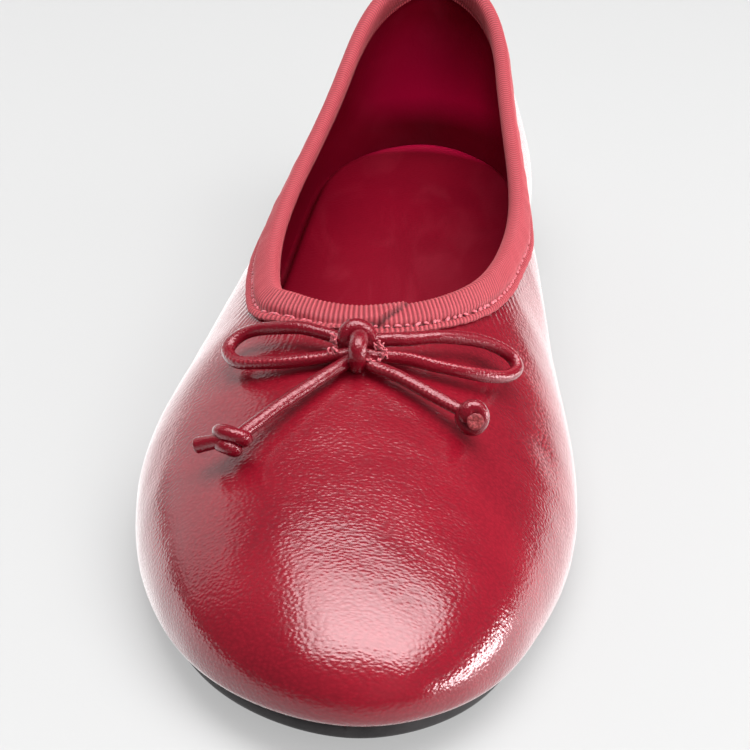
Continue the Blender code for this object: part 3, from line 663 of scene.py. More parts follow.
SOLE_GREY, SOLE_DUST = (0.019, 0.017, 0.018), (0.048, 0.044, 0.045)
sole_rubber, tree, shader, place = new_material("sole_rubber", Specular_IOR_Level=0.2)
dust = noise(tree, place, 160.0, 6.0, 0.65)["Fac"]
worn = math_node(tree, "MULTIPLY_ADD", dust, 2.2, -0.9, clamp=True)
rough = math_node(tree, "MULTIPLY_ADD", worn, 0.2, 0.6)
feed(tree, shader, mix_colours(tree, worn, SOLE_GREY, SOLE_DUST), rough,
     noise(tree, place, 2400.0, 2.0)["Fac"], 0.00004)
finish_piece(outsole, sole_rubber, ("outsole",))

# Insole: a padded sock of smooth lining leather glued over a thin board, its edges turned down,
# resting on the turned-under leather.
UPPER_WALL = 0.0013
INSOLE_THICKNESS, INSOLE_CLEARANCE, INSOLE_EDGE_ROUND = 0.003, 0.0018, 0.0019
# The insole's slow forms, a dish under the heel, a swell under the arch and a hollow under the
# toes: height, middle along and reach as shares of LENGTH, middle across and reach.
INSOLE_FORMS = [
    (-0.0006, 0.12, 0.07, 0.0, 0.020),
    (0.0005, 0.42, 0.12, 0.012, 0.016),
    (-0.0005, 0.76, 0.10, -0.002, 0.026),
]
ROLL_HEIGHT, ROLL_AT, ROLL_WIDTH = 0.0012, 0.0062, 0.0026  # the low roll at its heel end
# The heel end of the insole is round: along = ROLL_BEND times side from ROLL_MIDDLE squared.
ROLL_BEND, ROLL_MIDDLE = 24.0, 0.0016


def insole_top(along, side):
    """Height of the insole: flat across, with its slow forms, the low roll at its heel end, and
    unevenness from the glue and the foot."""
    height = sole_top(along) + 2 * GAP + UPPER_WALL + INSOLE_THICKNESS
    for rise, at, reach, beside, width in INSOLE_FORMS:
        height = height + rise * (bell(along / LENGTH, at, reach) * bell(side, beside, width))
    slow = np.sin(along / 0.0115 + 2.1 * np.sin(side / 0.011)) * np.sin(side / 0.0085 + 0.7)
    roll = ROLL_HEIGHT * bell(along - ROLL_BEND * side**2, ROLL_AT, ROLL_WIDTH)
    return height + 0.00008 * slow + roll


insole_seat = 2 * GAP + UPPER_WALL
insole_edge = UPPER_WALL + INSOLE_CLEARANCE


def insole_rim(angle, column):
    """One line of the insole's rounded upper edge, at an angle of its quarter circle."""
    inset = insole_edge + INSOLE_EDGE_ROUND * (1 - math.cos(angle))
    lift = INSOLE_EDGE_ROUND * (1 - math.sin(angle))
    return (inset, lambda a, s: insole_top(a, s) - lift, column)


rim_angles = np.radians([0, 22, 45, 67, 90])
insole_layers = [
    (insole_edge, lambda a, s: sole_top(a) + insole_seat, np.linspace(0, 1, 9)),
    *[insole_rim(angle, RIGHT) for angle in rim_angles],
    (insole_edge + INSOLE_EDGE_ROUND * 1.4, insole_top, ACROSS[::-1]),
    *[insole_rim(angle, LEFT) for angle in rim_angles[::-1]],
]
insole = add_piece("lining_insole", plate_grid(insole_layers, INSOLE_STOPS), caps=True)

INSOLE_RED, INSOLE_DARK = (0.180, 0.0012, 0.011), (0.125, 0.0008, 0.008)
# The glow red is painted light: a painted highlight on the insole's heel roll and a painted glow on
# the heel wall.
INSOLE_PALE, PAINTED_GLOW_RED = (0.26, 0.012, 0.03), (0.42, 0.0020, 0.040)


def ramp(tree, value, start, end):
    """0 up to the start, 1 from the end on, and straight in between; the end may be the lower."""
    steep = 1 / (end - start)
    return math_node(tree, "MULTIPLY_ADD", value, steep, -start * steep, clamp=True)


def lining_material(name, roughness, darker, bright, bend=0.0):
    """Smooth lining leather: a satin finish with a fine grain, slow clouds and rubbed smears.
    Between pairs of start and end along x, y and z it is painted brighter: painted light where
    light falls."""
    material, tree, shader, place = new_material(name, Specular_IOR_Level=0.15)
    grain = grain_of(tree, place, 1300.0, 3400.0, 0.5, 0.0006)
    dark, red, pale = (tuple(c * darker for c in colour)
                       for colour in (INSOLE_DARK, INSOLE_RED, INSOLE_PALE))
    stretched = add_node(tree, "Mapping", {
        "Vector": place, "Scale": (1.0, 0.35, 1.0), "Rotation": (0, 0, 0.5),
    }).outputs[0]
    smear = noise(tree, stretched, 120.0, 3.0, 0.6, 0.6)["Fac"]
    rubbed = math_node(tree, "MULTIPLY_ADD", smear, 2.4, -1.15, clamp=True)
    tone = mix_colours(tree, grain["Cloud"], dark, red)
    tone = mix_colours(tree, math_node(tree, "MULTIPLY", rubbed, 0.35), tone, pale)
    spot = add_node(tree, "SeparateXYZ", {0: place}).outputs
    beside = math_node(tree, "ADD", spot["X"], -ROLL_MIDDLE)
    beside = math_node(tree, "MULTIPLY", math_node(tree, "MULTIPLY", beside, beside), bend)
    reach = {"X": spot["X"], "Y": math_node(tree, "ADD", spot["Y"], beside), "Z": spot["Z"]}
    # Painted light: within these spans the lining is painted towards the glow red, standing in for
    # light falling on it.
    painted_glow = 1.0
    for axis, start, end in bright:
        painted_glow = math_node(tree, "MULTIPLY", ramp(tree, reach[axis], start, end), painted_glow)
    feed(tree, shader, mix_colours(tree, painted_glow, tone, PAINTED_GLOW_RED),
         math_node(tree, "MULTIPLY_ADD", rubbed, 0.14, roughness - 0.04), grain["Height"], 0.00002)
    return material


# The span along Y paints a highlight along the insole's roll at its heel end.
insole_leather = lining_material("insole_leather", 0.42, 0.82, [("Y", 0.1105, 0.1150)], ROLL_BEND)
finish_piece(insole, insole_leather, ("insole",))

# Upper: one piece of soft glazed leather pulled over the last, turned under at the feather line
# and cemented between insole and sole, closed at the back by a seam. A lining is glued inside.
FEATHER_RADIUS, LASTING_MARGIN = 0.0022, 0.009
WALL_REACH, VAMP_REACH = 0.004, 0.024
UPPER_LINES, WALL_STEPS, ARC_STEPS = 640, 104, 8
MID_WALL = 12  # a step of a line that is on the wall in every grid
LEATHER_SHARE = 0.52  # of the wall is leather, the rest lining
SEAM_LINE, BACK_FROM = 0.00055, 0.10  # half the width of the back seam, and how far back it is
SEAM_SWELL, SEAM_GROOVE = 0.00026, 0.00060
SLOW_WAVES = [(0.00010, 0.019, 3), (0.00005, 0.0082, 8)]  # height, size and seed
PUCKERS, PUCKER_HEIGHT = 148, 0.00006  # fine ones all round the opening
PUCKER_AT, PUCKER_REACH = 0.0068, 0.0028  # below the edge of the opening


def upper_surface(count, steps, arc_steps):
    """The outside of the upper as points [line, step]: each line runs in under the insole, round
    the feather as an arc, and up to the opening's edge as a cubic Bezier curve."""
    values = line_values(np.arange(count) / count)
    foot = np.stack([values[:, 1], -values[:, 0]], axis=1)
    top = np.stack([values[:, 3], -values[:, 2]], axis=1)
    throat, back, lean = values[:, 4], values[:, 5], values[:, 6]
    height = THROAT_HEIGHT * throat + BACK_HEIGHT * back + SIDE_HEIGHT * (1 - throat - back)
    out = outward(foot)
    seat = sole_top(values[:, 0]) + GAP
    start = np.column_stack([foot, seat + FEATHER_RADIUS * (1 - np.sin(lean))])
    end = np.column_stack([top, height])
    over = top - foot
    reach = np.linalg.norm(over, axis=1)[:, None]
    share = smooth_step((reach - WALL_REACH) / (VAMP_REACH - WALL_REACH))
    inward = unit(-out * (1 - share) + over / reach * share)
    chord = np.linalg.norm(end - start, axis=1)[:, None]
    leave = np.column_stack([out * np.sin(lean)[:, None], np.cos(lean)])
    arrive = np.column_stack([inward * np.cos(values[:, 8])[:, None], np.sin(values[:, 8])])
    low = start + leave * chord * values[:, 7:8]
    high = end - arrive * chord * values[:, 9:10]
    t = np.linspace(0, 1, steps + 1)[None, :, None]
    wall = (
        (1 - t) ** 3 * start[:, None] + 3 * (1 - t) ** 2 * t * low[:, None]
        + 3 * (1 - t) * t**2 * high[:, None] + t**3 * end[:, None]
    )
    centre = foot - out * (FEATHER_RADIUS * np.cos(lean))[:, None]
    turn = np.linspace(0, 1, arc_steps, endpoint=False)[None, :] * (math.pi / 2 - lean)[:, None]
    arc_plan = centre[:, None] + out[:, None] * (FEATHER_RADIUS * np.sin(turn))[..., None]
    arc_low = start[:, 2:3] + FEATHER_RADIUS * (np.sin(lean)[:, None] - np.cos(turn))
    arc = np.concatenate([arc_plan, arc_low[..., None]], axis=2)
    margin = centre - out * (LASTING_MARGIN - FEATHER_RADIUS)
    under = np.column_stack([margin, sole_top(-margin[:, 1]) + GAP])
    return np.concatenate([under[:, None], arc, wall], axis=1) + SHOE_SHIFT


def surface_normals(points):
    """Directions square to a grid that is closed over its lines, pointing out of the shoe."""
    around = np.roll(points, -1, axis=0) - np.roll(points, 1, axis=0)
    normal = unit(np.cross(np.gradient(points, axis=1), around))
    outside = points[:, MID_WALL, :2] - points[:, MID_WALL, :2].mean(axis=0)
    return normal * np.sign(np.sum(normal[:, MID_WALL, :2] * outside))


last_points = upper_surface(UPPER_LINES, WALL_STEPS, ARC_STEPS)
last_normals = surface_normals(last_points)
wall_runs = np.linalg.norm(np.diff(last_points, axis=1), axis=2)
below_top = np.concatenate(
    [np.cumsum(wall_runs[:, ::-1], axis=1)[:, ::-1], np.zeros((UPPER_LINES, 1))], axis=1
)


def crease(points, ends, width, depth):
    """A soft trough, or a ridge where depth is negative, along the line between two places: its
    section is a bell curve of the distance to that line, and it fades at both ends."""
    a, b = (np.array(end) * MM for end in ends)
    line = b - a
    share = np.clip(((points - a) @ line) / (line @ line), 0, 1)
    away = np.linalg.norm(points - a - share[..., None] * line, axis=-1)
    fade = smooth_step(share / 0.35) * smooth_step((1 - share) / 0.35)
    return -depth * MM * bell(away, 0, width * MM) * (0.15 + 0.85 * fade)


# Where the leather gives: from and to as x, y, z in the frame, then width and depth, all in
# millimetres. Puckers under the ribbon, flex creases behind the toes, dents at the sides.
CREASES = [
    ((9.0, -50.0, 38.0), (12.0, -54.0, 36.5), 1.3, 0.10),
    ((11.8, -48.5, 38.0), (15.5, -52.0, 36.0), 1.3, 0.12),
    ((15.0, -46.5, 37.5), (18.5, -49.0, 35.5), 1.3, 0.11),
    ((18.0, -43.0, 37.0), (21.5, -45.5, 34.5), 1.4, 0.09),
    ((-8.0, -50.0, 38.0), (-10.5, -54.0, 36.5), 1.5, 0.07),
    ((-14.0, -47.0, 37.5), (-17.5, -50.0, 35.5), 1.5, 0.08),
    ((2.0, -66.0, 35.0), (22.0, -60.0, 31.0), 2.5, 0.13),
    ((6.0, -72.0, 33.0), (24.0, -67.0, 28.0), 2.3, -0.06),
    ((-24.0, -62.0, 30.0), (-8.0, -70.0, 33.0), 3.0, 0.10),
    ((-30.0, -70.0, 24.0), (-14.0, -80.0, 28.0), 3.7, 0.11),
    ((14.0, -80.0, 30.0), (30.0, -74.0, 24.0), 3.4, 0.10),
    ((-34.0, -52.0, 24.0), (-36.5, -70.0, 16.0), 3.4, 0.13),
    ((33.0, -46.0, 26.0), (37.0, -60.0, 17.0), 3.4, 0.12),
    ((-26.0, -10.0, 30.0), (-30.5, -22.0, 18.0), 4.6, 0.18),
    ((-24.0, 22.0, 30.0), (-28.0, 14.0, 18.0), 5.8, 0.21),
    ((26.0, 14.0, 30.0), (29.5, 2.0, 20.0), 5.2, 0.18),
    ((24.0, 50.0, 34.0), (28.0, 36.0, 20.0), 5.8, 0.18),
    ((-20.0, 66.0, 38.0), (-26.0, 54.0, 20.0), 5.2, 0.17),
]


def slow_waves(points, size, seed):
    """Slow unevenness: five sine waves of one size crossing in directions set by the seed."""
    rng = np.random.default_rng(seed)
    total = 0
    for _ in range(5):
        direction = unit(rng.normal(size=3))
        total = total + np.sin(points @ direction * (2 * math.pi / size) + rng.uniform(0, 6.28))
    return total / 5


def leather_relief(points, below_top):
    """How far the leather stands off the last: creases, slow waves and fine puckers that fade
    under the ribbon, and the seam at the back, a groove between two swells."""
    relief = sum(crease(points, (a, b), width, depth) for a, b, width, depth in CREASES)
    for height, size, seed in SLOW_WAVES:
        relief = relief + height * slow_waves(points, size, seed)
    line = np.arange(len(points))[:, None] / len(points)
    front = smooth_step((-points[..., 1] - 0.005) / 0.03)
    pucker = np.sin(line * 2 * math.pi * PUCKERS + 1.7 * np.sin(line * 2 * math.pi * 19))
    near_top = bell(below_top, PUCKER_AT, PUCKER_REACH)
    relief = relief + PUCKER_HEIGHT * pucker * near_top * (0.3 + 0.8 * front)
    relief = relief * smooth_step((below_top - 0.0035) / 0.004)
    across = np.abs(points[..., 0] - SHOE_SHIFT[0])
    seam = SEAM_SWELL * bell(across, 0.0023, 0.0012) - SEAM_GROOVE * bell(across, 0, 0.00085)
    return relief + seam * (points[..., 1] > BACK_FROM)


relief = leather_relief(last_points, below_top)
relief[:, : ARC_STEPS + 1] = 0  # round the feather and under the insole it lies flat
leather_out = last_points + last_normals * relief[..., None]
# Inner faces, which are hardly seen, keep every fifth step of a line; the lining every second line.
coarse = np.r_[np.arange(last_points.shape[1] - 1, 0, -5), 0]
leather_in = (last_points - last_normals * UPPER_WALL * LEATHER_SHARE)[:, coarse]
upper_leather_piece = add_piece(
    "leather_upper", np.concatenate([leather_out, leather_in], axis=1), wrap_rows=True
)

lining_lines = last_points[::2]
lining_normals = last_normals[::2]
steps = np.r_[np.arange(0, last_points.shape[1] - 1, 2), last_points.shape[1] - 1]
lining_wave = 0.00012 * slow_waves(lining_lines, 0.024, 5)
lining_hold = smooth_step((below_top[::2] - 0.004) / 0.006)
lining_in = lining_lines - lining_normals * (UPPER_WALL - lining_wave * lining_hold)[..., None]
lining_out = lining_lines - lining_normals * UPPER_WALL * (LEATHER_SHARE + 0.02)
lining_piece = add_piece(
    "upper_lining",
    np.concatenate([lining_in[:, steps], lining_out[:, coarse]], axis=1),
    wrap_rows=True,
)

# The lighter red painted on the grain's pillow tops: painted highlight.
LEATHER_PAINTED_CREST = (0.33, 0.016, 0.028)
upper_leather, tree, shader, place = new_material(
    "upper_leather", Specular_IOR_Level=0.64, Specular_Tint=(1.0, 0.85, 0.88, 1.0),
    Coat_Weight=0.05, Coat_Roughness=0.10,
)
pulled = add_node(tree, "Mapping", {
    "Vector": place, "Scale": (0.62, 1.0, 1.0), "Rotation": (0, 0, 0.12),
}).outputs[0]
grain = grain_of(tree, pulled, 1750.0, 4000.0, 0.12, 0.0009)
clouds = math_node(tree, "MULTIPLY_ADD", grain["Cloud"], 1.6, -0.3, clamp=True)
tone = mix_colours(tree, clouds, LEATHER_DEEP, LEATHER_RED)
# Painted shade and highlight: the grain's grooves stay darker and the pillow tops are painted
# lighter.
tone = mix_colours(tree, math_node(tree, "MULTIPLY", grain["Ridges"], 0.20), tone, LEATHER_PAINTED_CREST)
rough = math_node(tree, "MULTIPLY_ADD", grain["Ridges"], -0.10, 0.18)
rough = math_node(tree, "MULTIPLY_ADD", grain["Cloud"], 0.10, rough)
spot = add_node(tree, "SeparateXYZ", {0: place}).outputs
apart = math_node(tree, "ABSOLUTE", math_node(tree, "ADD", spot["X"], -float(SHOE_SHIFT[0])))
closed = math_node(tree, "MULTIPLY_ADD", apart, -1 / SEAM_LINE, 1.0, clamp=True)
closed = math_node(tree, "MULTIPLY", closed, math_node(tree, "GREATER_THAN", spot["Y"], BACK_FROM))
tone = mix_colours(tree, math_node(tree, "MULTIPLY", closed, 0.8), tone, LEATHER_DEEP)
height = math_node(tree, "MULTIPLY_ADD", closed, -9.0, grain["Height"])
feed(tree, shader, tone, rough, height, 0.00004)
finish_piece(upper_leather_piece, upper_leather, ("upper",))
# These spans paint a glow on the heel wall's lining, where light falls on it.
lining_leather = lining_material("lining_leather", 0.36, 0.80, [
    ("X", -0.018, 0.0), ("X", 0.024, 0.014), ("Y", 0.073, 0.115),
    ("Z", 0.019, 0.026), ("Z", 0.048, 0.027),
])
finish_piece(lining_piece, lining_leather)

# Ribbon: ribbed grosgrain tape folded over the edge of the opening. A soft roll stands above one
# row of hand-worked stitches, and a flat flange lies below it; its ends lap in front.
RIBBON_LINES, TOP_STEPS = 2340, 22  # lines round the opening, and their points next to its edge
RIB_PITCH, RIB_HEIGHT = 0.00087, 0.00017


def along_line(points, runs, distance):
    """Places on each line at a distance down from its top, read between the line's points.
    distance is given by line and column."""
    count, steps = points.shape[:2]
    down = points[:, ::-1]
    run = np.concatenate([np.zeros((count, 1)), np.cumsum(runs[:, ::-1], axis=1)], axis=1)
    index = np.clip((run[:, None, :] <= distance[:, :, None]).sum(axis=2) - 1, 0, steps - 2)
    line = np.arange(count)[:, None]
    first, second = run[line, index], run[line, index + 1]
    share = ((distance - first) / (second - first))[..., None]
    return down[line, index] * (1 - share) + down[line, index + 1] * share


whole = upper_surface(RIBBON_LINES, 90, 1)
ribbon_points, ribbon_normals = whole[:, -TOP_STEPS:], surface_normals(whole)[:, -TOP_STEPS:]
ribbon_runs = np.linalg.norm(np.diff(ribbon_points, axis=1), axis=2)
top, top_normal = ribbon_points[:, -1], ribbon_normals[:, -1]
top_up = top - ribbon_points[:, -2]
top_up = unit(top_up - top_normal * np.sum(top_up * top_normal, axis=1)[:, None])
topline_run = lengths_along(np.vstack([top, top[:1]]))
whole_line = np.ones((RIBBON_LINES, 1))
rib_count = round(topline_run[-1] / RIB_PITCH)
ribs = np.cos(math.pi * rib_count * topline_run[:-1] / topline_run[-1]) ** 2
edge_middle = top - top_normal * UPPER_WALL / 2

# Section of the tape, outside then over the fold then inside: distance down from the edge and
# height over the leather where it lies on a leg, or angle and radius where it turns over the edge.
# The last number is how strongly the ribs show there. The tape's own back follows, close to the
# leather, the other way round.
OUT_LEG = np.array([
    (6.25, 0.34, 0.2), (6.2, 0.72, 0.9), (5.9, 0.86, 1.0), (5.5, 0.90, 1.0), (5.1, 0.82, 0.9),
    (4.8, 0.62, 0.6), (4.55, 0.44, 0.3), (4.3, 0.42, 0.2), (4.05, 0.62, 0.5), (3.8, 0.92, 0.9),
    (3.4, 1.16, 1.0), (3.0, 1.30, 1.0), (2.5, 1.36, 1.0), (2.0, 1.38, 1.0), (1.5, 1.36, 1.0),
    (1.0, 1.32, 1.0), (0.5, 1.28, 1.0),
])
FOLD = np.array([
    (20, 1.94, 1.0), (38, 1.90, 1.0), (56, 1.84, 1.0), (74, 1.76, 1.0), (92, 1.68, 1.0),
    (112, 1.60, 1.0), (134, 1.54, 1.0), (158, 1.48, 1.0),
])
IN_LEG = np.array([
    (0.6, 0.80, 1.0), (1.2, 0.82, 1.0), (2.0, 0.84, 1.0), (2.8, 0.84, 1.0), (3.5, 0.80, 0.9),
    (4.0, 0.66, 0.5), (4.3, 0.56, 0.3), (4.6, 0.66, 0.6), (4.95, 0.74, 0.8), (5.05, 0.36, 0.2),
    (4.2, 0.32, 0.0), (1.2, 0.32, 0.0),
])
FOLD_BACK = np.array([(150, 0.96, 0.0), (90, 0.96, 0.0), (30, 0.96, 0.0)])
OUT_BACK = np.array([(1.2, 0.30, 0.0), (4.3, 0.22, 0.0)])


def leg(distance, height, inside):
    """Places on one leg of the tape, at heights over the leather's outer or inner face."""
    place = along_line(ribbon_points, ribbon_runs, distance)
    normal = unit(along_line(ribbon_normals, ribbon_runs, distance))
    away = -(UPPER_WALL + height) if inside else height
    return place + normal * away[..., None]


def over_edge(degrees, radius):
    """Places round the edge of the opening, at an angle from straight out and a radius."""
    turn = np.radians(degrees)
    direction = (
        top_normal[:, None] * np.cos(turn)[..., None] + top_up[:, None] * np.sin(turn)[..., None]
    )
    return edge_middle[:, None] + direction * radius[..., None]


def soft_noise(count, waves, seed):
    """A periodic wobble from -1 to 1 round the opening, made of a few sine waves."""
    rng = np.random.default_rng(seed)
    turn = np.arange(count) / count * 2 * math.pi
    rows = [np.sin(turn * wave + rng.uniform(0, 6.28)) for wave in waves]
    return np.mean(rows, axis=0)


wobble = 0.00016 * soft_noise(RIBBON_LINES, (23, 37, 61, 88), 11)
swell = 1 + 0.10 * soft_noise(RIBBON_LINES, (17, 29, 53), 12)


def shaped(rows):
    """A section's heights or radii in metres for every line, with the ribs laid over them."""
    rib = (RIB_HEIGHT * (ribs - 0.5))[:, None]
    return rows[None, :, 1] * MM * whole_line + rib * rows[None, :, 2]


# The tape's ends lap just right of the middle of the front: the upper end lies a thickness and a
# little more higher, cut slantwise, and settles over the next centimetre.
LAP_AT, LAP_SLANT, LAP_LENGTH, LAP_RISE, LAP_END = 0.0033, 1.1, 0.011, 0.00110, 0.00055
FOLD_REACH = 0.0022  # from the edge up to the top of the fold, as a distance along the section
half_run = topline_run[-1] / 2
run_from_front = np.mod(topline_run[:-1] + half_run, topline_run[-1]) - half_run


def lap_past(distance):
    """How far each place lies beyond the slanting end of the upper tape."""
    return run_from_front[:, None] - LAP_AT + LAP_SLANT * (distance - 0.003)


def lap(distance):
    """Extra height of the upper end of the tape where it lies over the lower one."""
    past = lap_past(distance)
    return LAP_RISE * smooth_step(-past / LAP_END) * smooth_step((LAP_LENGTH + past) / LAP_LENGTH)


def lap_shadow_line(distance):
    """How strongly the painted shadow along the foot of that end darkens each place."""
    return 0.85 * bell(lap_past(distance), 0.00016, 0.00046)


# Stitches: one row worked by hand in the hollow below the roll, a good millimetre and a half
# apart, each a short slanting thread between two needle holes.
STITCH_PITCH, STITCH_HALF, STITCH_THREAD = 0.00170, 0.00050, 0.00030
STITCH_ROW = 4.42  # in millimetres down from the edge
chance = np.random.default_rng(9)
stitch_count = int(topline_run[-1] / STITCH_PITCH)
stitch_run = (np.arange(stitch_count) + chance.uniform(-0.32, 0.32, stitch_count)) * STITCH_PITCH
stitch_half = STITCH_HALF * chance.uniform(0.5, 1.35, stitch_count)
stitch_slant = chance.uniform(-0.45, 0.30, stitch_count)  # in millimetres down from the edge
hole_run = np.concatenate([stitch_run - stitch_half, stitch_run + stitch_half])
apart = np.abs(topline_run[:-1, None] - hole_run[None])
needle_hole = bell(apart, 0, 0.00042).max(axis=1)

down = OUT_LEG[:, 0]
out_distance = down * MM + np.where(down > 4.6, 1, 0) * wobble[:, None]
out_height = (shaped(OUT_LEG) - GAP) * np.where(down < 4.0, swell[:, None], 1) + GAP
near_row = bell(down, STITCH_ROW, 0.30)
in_front = smooth_step((run_from_front + 0.005) / 0.004)
in_front = in_front * smooth_step((0.034 - run_from_front) / 0.008)
# Needle holes are dented and darkened with painted shade. The painted shadow line at the foot of
# the lapped end joins them in this mask.
dent_and_shade_mask = (needle_hole * (0.15 + 0.85 * in_front))[:, None] * near_row[None]
out_height = out_height - 0.00012 * dent_and_shade_mask
dent_and_shade_mask = np.maximum(dent_and_shade_mask, lap_shadow_line(out_distance) * smooth_step((4.6 - down) / 0.3))
leg_rows = leg(out_distance, out_height + lap(out_distance), False)
fold_distance = -FOLD[:, 0] / 90 * FOLD_REACH * whole_line
fold_rows = over_edge(FOLD[:, 0] * whole_line, shaped(FOLD) + 0.5 * lap(fold_distance))
dent_and_shade_mask = np.concatenate([dent_and_shade_mask, lap_shadow_line(fold_distance)], axis=1)
in_rows = leg(IN_LEG[:, 0] * MM * whole_line, shaped(IN_LEG), True)
fold_back = over_edge(FOLD_BACK[:, 0] * whole_line, shaped(FOLD_BACK))
out_back = leg(OUT_BACK[:, 0] * MM * whole_line, shaped(OUT_BACK), False)
tape_grid = np.concatenate([leg_rows, fold_rows, in_rows, fold_back, out_back], axis=1)
tape_lengths = lengths_along(tape_grid[0])
tape_lengths = np.append(tape_lengths, tape_lengths[-1] + 0.001)
ribbon_piece = add_piece(
    "topline_tape", tape_grid, wrap_rows=True, uv=(topline_run, tape_lengths),
    fields={
        "rib": ribs[:, None] * np.ones((1, tape_grid.shape[1])),
        "painted_shade": np.pad(dent_and_shade_mask, ((0, 0), (0, tape_grid.shape[1] - dent_and_shade_mask.shape[1]))),
    },
)

# The leather under the row of stitches: its places at a few distances down, and its directions.
row_distance = np.array([3.9, 4.15, 4.4, 4.65, 4.9])
row_places = leg(row_distance * MM * whole_line, 0 * whole_line, False)
row_places = np.concatenate([row_places, row_places[:1]])
row_normal = np.concatenate([ribbon_normals[:, -12], ribbon_normals[:1, -12]])


def on_tape(run, distance, height):
    """Places on the tape by run round the opening, millimetres down from its edge and height,
    read between the nearest lines and distances."""
    line = np.interp(np.mod(run, topline_run[-1]), topline_run, np.arange(RIBBON_LINES + 1))
    low = np.clip(line.astype(int), 0, RIBBON_LINES - 1)
    share = (line - low)[..., None]
    column = np.interp(distance, row_distance, np.arange(5))
    left = np.clip(column.astype(int), 0, 3)
    beside = (column - left)[..., None]
    first = row_places[low, left] * (1 - beside) + row_places[low, left + 1] * beside
    second = row_places[low + 1, left] * (1 - beside) + row_places[low + 1, left + 1] * beside
    normal = unit(row_normal[low] * (1 - share) + row_normal[low + 1] * share)
    return first * (1 - share) + second * share + normal * height[..., None]


t = np.linspace(-1, 1, 9)[None]
stitch_shown = np.interp(stitch_run, topline_run[:-1], in_front)
stitch_paths = on_tape(
    stitch_run[:, None] + stitch_half[:, None] * t,
    STITCH_ROW + stitch_slant[:, None] * t,
    0.00010 + 0.00026 * stitch_shown[:, None] + 0.00036 * np.sqrt(1 - 0.98 * t**2),
)
stitches = add_piece("topline_stitches", threads(stitch_paths, STITCH_THREAD), caps=True)
finish_piece(stitches, tack_thread)

# Painted light on the tape: the deep red is painted shade in the valleys between the ribs, mixed
# with the yarns' own unevenness, and the pale red is a painted highlight on the rib crests.
RIBBON_RED, RIBBON_DEEP = (0.32, 0.036, 0.048), (0.125, 0.006, 0.012)
RIBBON_PAINTED_HIGHLIGHT, PAINTED_SHADE_RED = (0.42, 0.090, 0.105), (0.020, 0.001, 0.002)
ribbon_cloth, tree, shader, _ = new_material(
    "ribbon_cloth", Roughness=0.62, Specular_IOR_Level=0.3, Sheen_Weight=0.22, Sheen_Roughness=0.4,
    Sheen_Tint=(1.0, 0.45, 0.45, 1.0),
)
woven = add_node(tree, "UVMap", uv_map="lengths").outputs[0]
yarns = add_node(tree, "Mapping", {"Vector": woven, "Scale": (900.0, 5200.0, 1.0)}).outputs[0]
yarns = noise(tree, yarns, 1.0, 2.0)["Fac"]
rib_mask = field(tree, "rib")
# Painted shade between the ribs, with the yarns' own tone.
shade = math_node(tree, "MULTIPLY_ADD", yarns, 0.4, -0.25)
shade = math_node(tree, "ADD", shade, rib_mask, clamp=True)
tone = mix_colours(tree, shade, RIBBON_DEEP, RIBBON_RED)
# Painted highlight on the rib crests, broken up by noise.
pale = math_node(tree, "MULTIPLY", math_node(tree, "POWER", rib_mask, 2.0), 0.35)
pale = math_node(tree, "MULTIPLY", noise(tree, woven, 160.0, 2.0)["Fac"], pale)
tone = mix_colours(tree, pale, tone, RIBBON_PAINTED_HIGHLIGHT)
# Painted shade: the needle holes and the foot of the lapped end are darkened.
feed(tree, shader, mix_colours(tree, field(tree, "painted_shade"), tone, PAINTED_SHADE_RED), None, yarns, 0.00004)
finish_piece(ribbon_piece, ribbon_cloth, ("topline_ribbon",))

# Floor and studio light. The floor is pale and glows, so that it stays bright round the soft
# shadow. In the leather it is seen brighter still, but for the shady part in front of the toe.
FLOOR_GREY, FLOOR_GLOW, FLOOR_SHINE = 0.165, 0.41, 1.65
SHADE_SLOPE, SHADE_OFFSET = 9.0, 1.72  # the mirrored floor's brightness by distance forward
floor_mesh = bpy.data.meshes.new("floor")
floor_mesh.from_pydata(
    [(-15, -15, 0), (15, -15, 0), (15, 15, 0), (-15, 15, 0)], [], [(0, 1, 2, 3)]
)
floor = bpy.data.objects.new("floor", floor_mesh)
bpy.context.scene.collection.objects.link(floor)
floor_paint, tree, shader, place = new_material(
    "floor_paint", Roughness=0.7, Base_Color=(FLOOR_GREY, FLOOR_GREY, FLOOR_GREY, 1),
    Emission_Strength=1.0,
)
mirrored = add_node(tree, "LightPath").outputs["Is Glossy Ray"]
forward = add_node(tree, "SeparateXYZ", {0: place}).outputs["Y"]
shine = math_node(tree, "MULTIPLY_ADD", forward, SHADE_SLOPE, SHADE_OFFSET, clamp=True)
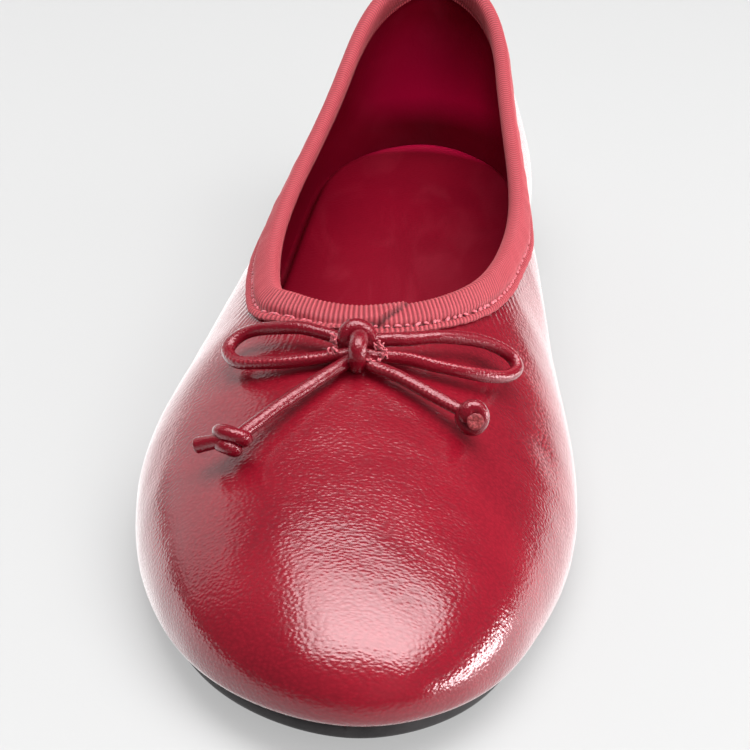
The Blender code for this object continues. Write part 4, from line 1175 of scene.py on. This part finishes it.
shine = math_node(tree, "MULTIPLY", shine, FLOOR_SHINE)
glow = mix_colours(tree, mirrored, (FLOOR_GLOW, FLOOR_GLOW, FLOOR_GLOW), shine)
tree.links.new(glow, shader.inputs["Emission Color"])
floor_mesh.materials.append(floor_paint)


def soft_box(name, place, target, size, radiance):
    """A rectangular light at a place, turned to a target. Its power is its radiance times pi
    times its area."""
    data = bpy.data.lights.new(name, "AREA")
    data.shape = "RECTANGLE"
    data.size, data.size_y = size
    data.energy = radiance * math.pi * size[0] * size[1]
    light = bpy.data.objects.new(name, data)
    bpy.context.scene.collection.objects.link(light)
    ahead = unit(np.array(target, float) - np.array(place, float))
    across = unit(np.cross(ahead, (0, 1, 0.01)))
    above = np.cross(across, ahead)
    turn = Matrix(np.stack([across, above, -ahead], axis=1).tolist()).to_4x4()
    light.matrix_world = Matrix.Translation(place) @ turn
    return light


# A wide box overhead with a brighter lamp in it makes the vamp's highlight, a low strip the one at
# the toe's inner side, and a box at the back lights the other side. The fill is not mirrored.
soft_box("box_overhead", (0.235, -0.03, 1.0), (0.235, -0.03, 0.0), (1.35, 0.72), 7.2)
soft_box("box_overhead_lamp", (0.235, -0.16, 0.98), (0.235, -0.16, 0.0), (1.0, 0.42), 3.2)
soft_box("box_inner_side", (1.3, 0.0, 0.10), (0, 0.0, 0.05), (0.22, 0.94), 23.0)
soft_box("box_outer_back", (-1.08, 0.91, 0.56), (0, 0, 0.02), (0.92, 1.2), 1.1)
fill = soft_box("box_front_fill", (1.1, -1.3, 0.95), (0, -0.1, 0), (1.0, 1.4), 4.5)
fill.visible_glossy = False

world = bpy.data.worlds.new("studio")
bpy.context.scene.world = world
world.use_nodes = True
tree = world.node_tree
mirrored = add_node(tree, "LightPath").outputs["Is Glossy Ray"]
sky = mix_colours(tree, mirrored, (0.60, 0.60, 0.60), (0.10, 0.10, 0.105))
tree.links.new(sky, tree.nodes["Background"].inputs["Color"])
tree.nodes["Background"].inputs["Strength"].default_value = 1.0
bpy.context.scene.view_settings.view_transform = "Standard"
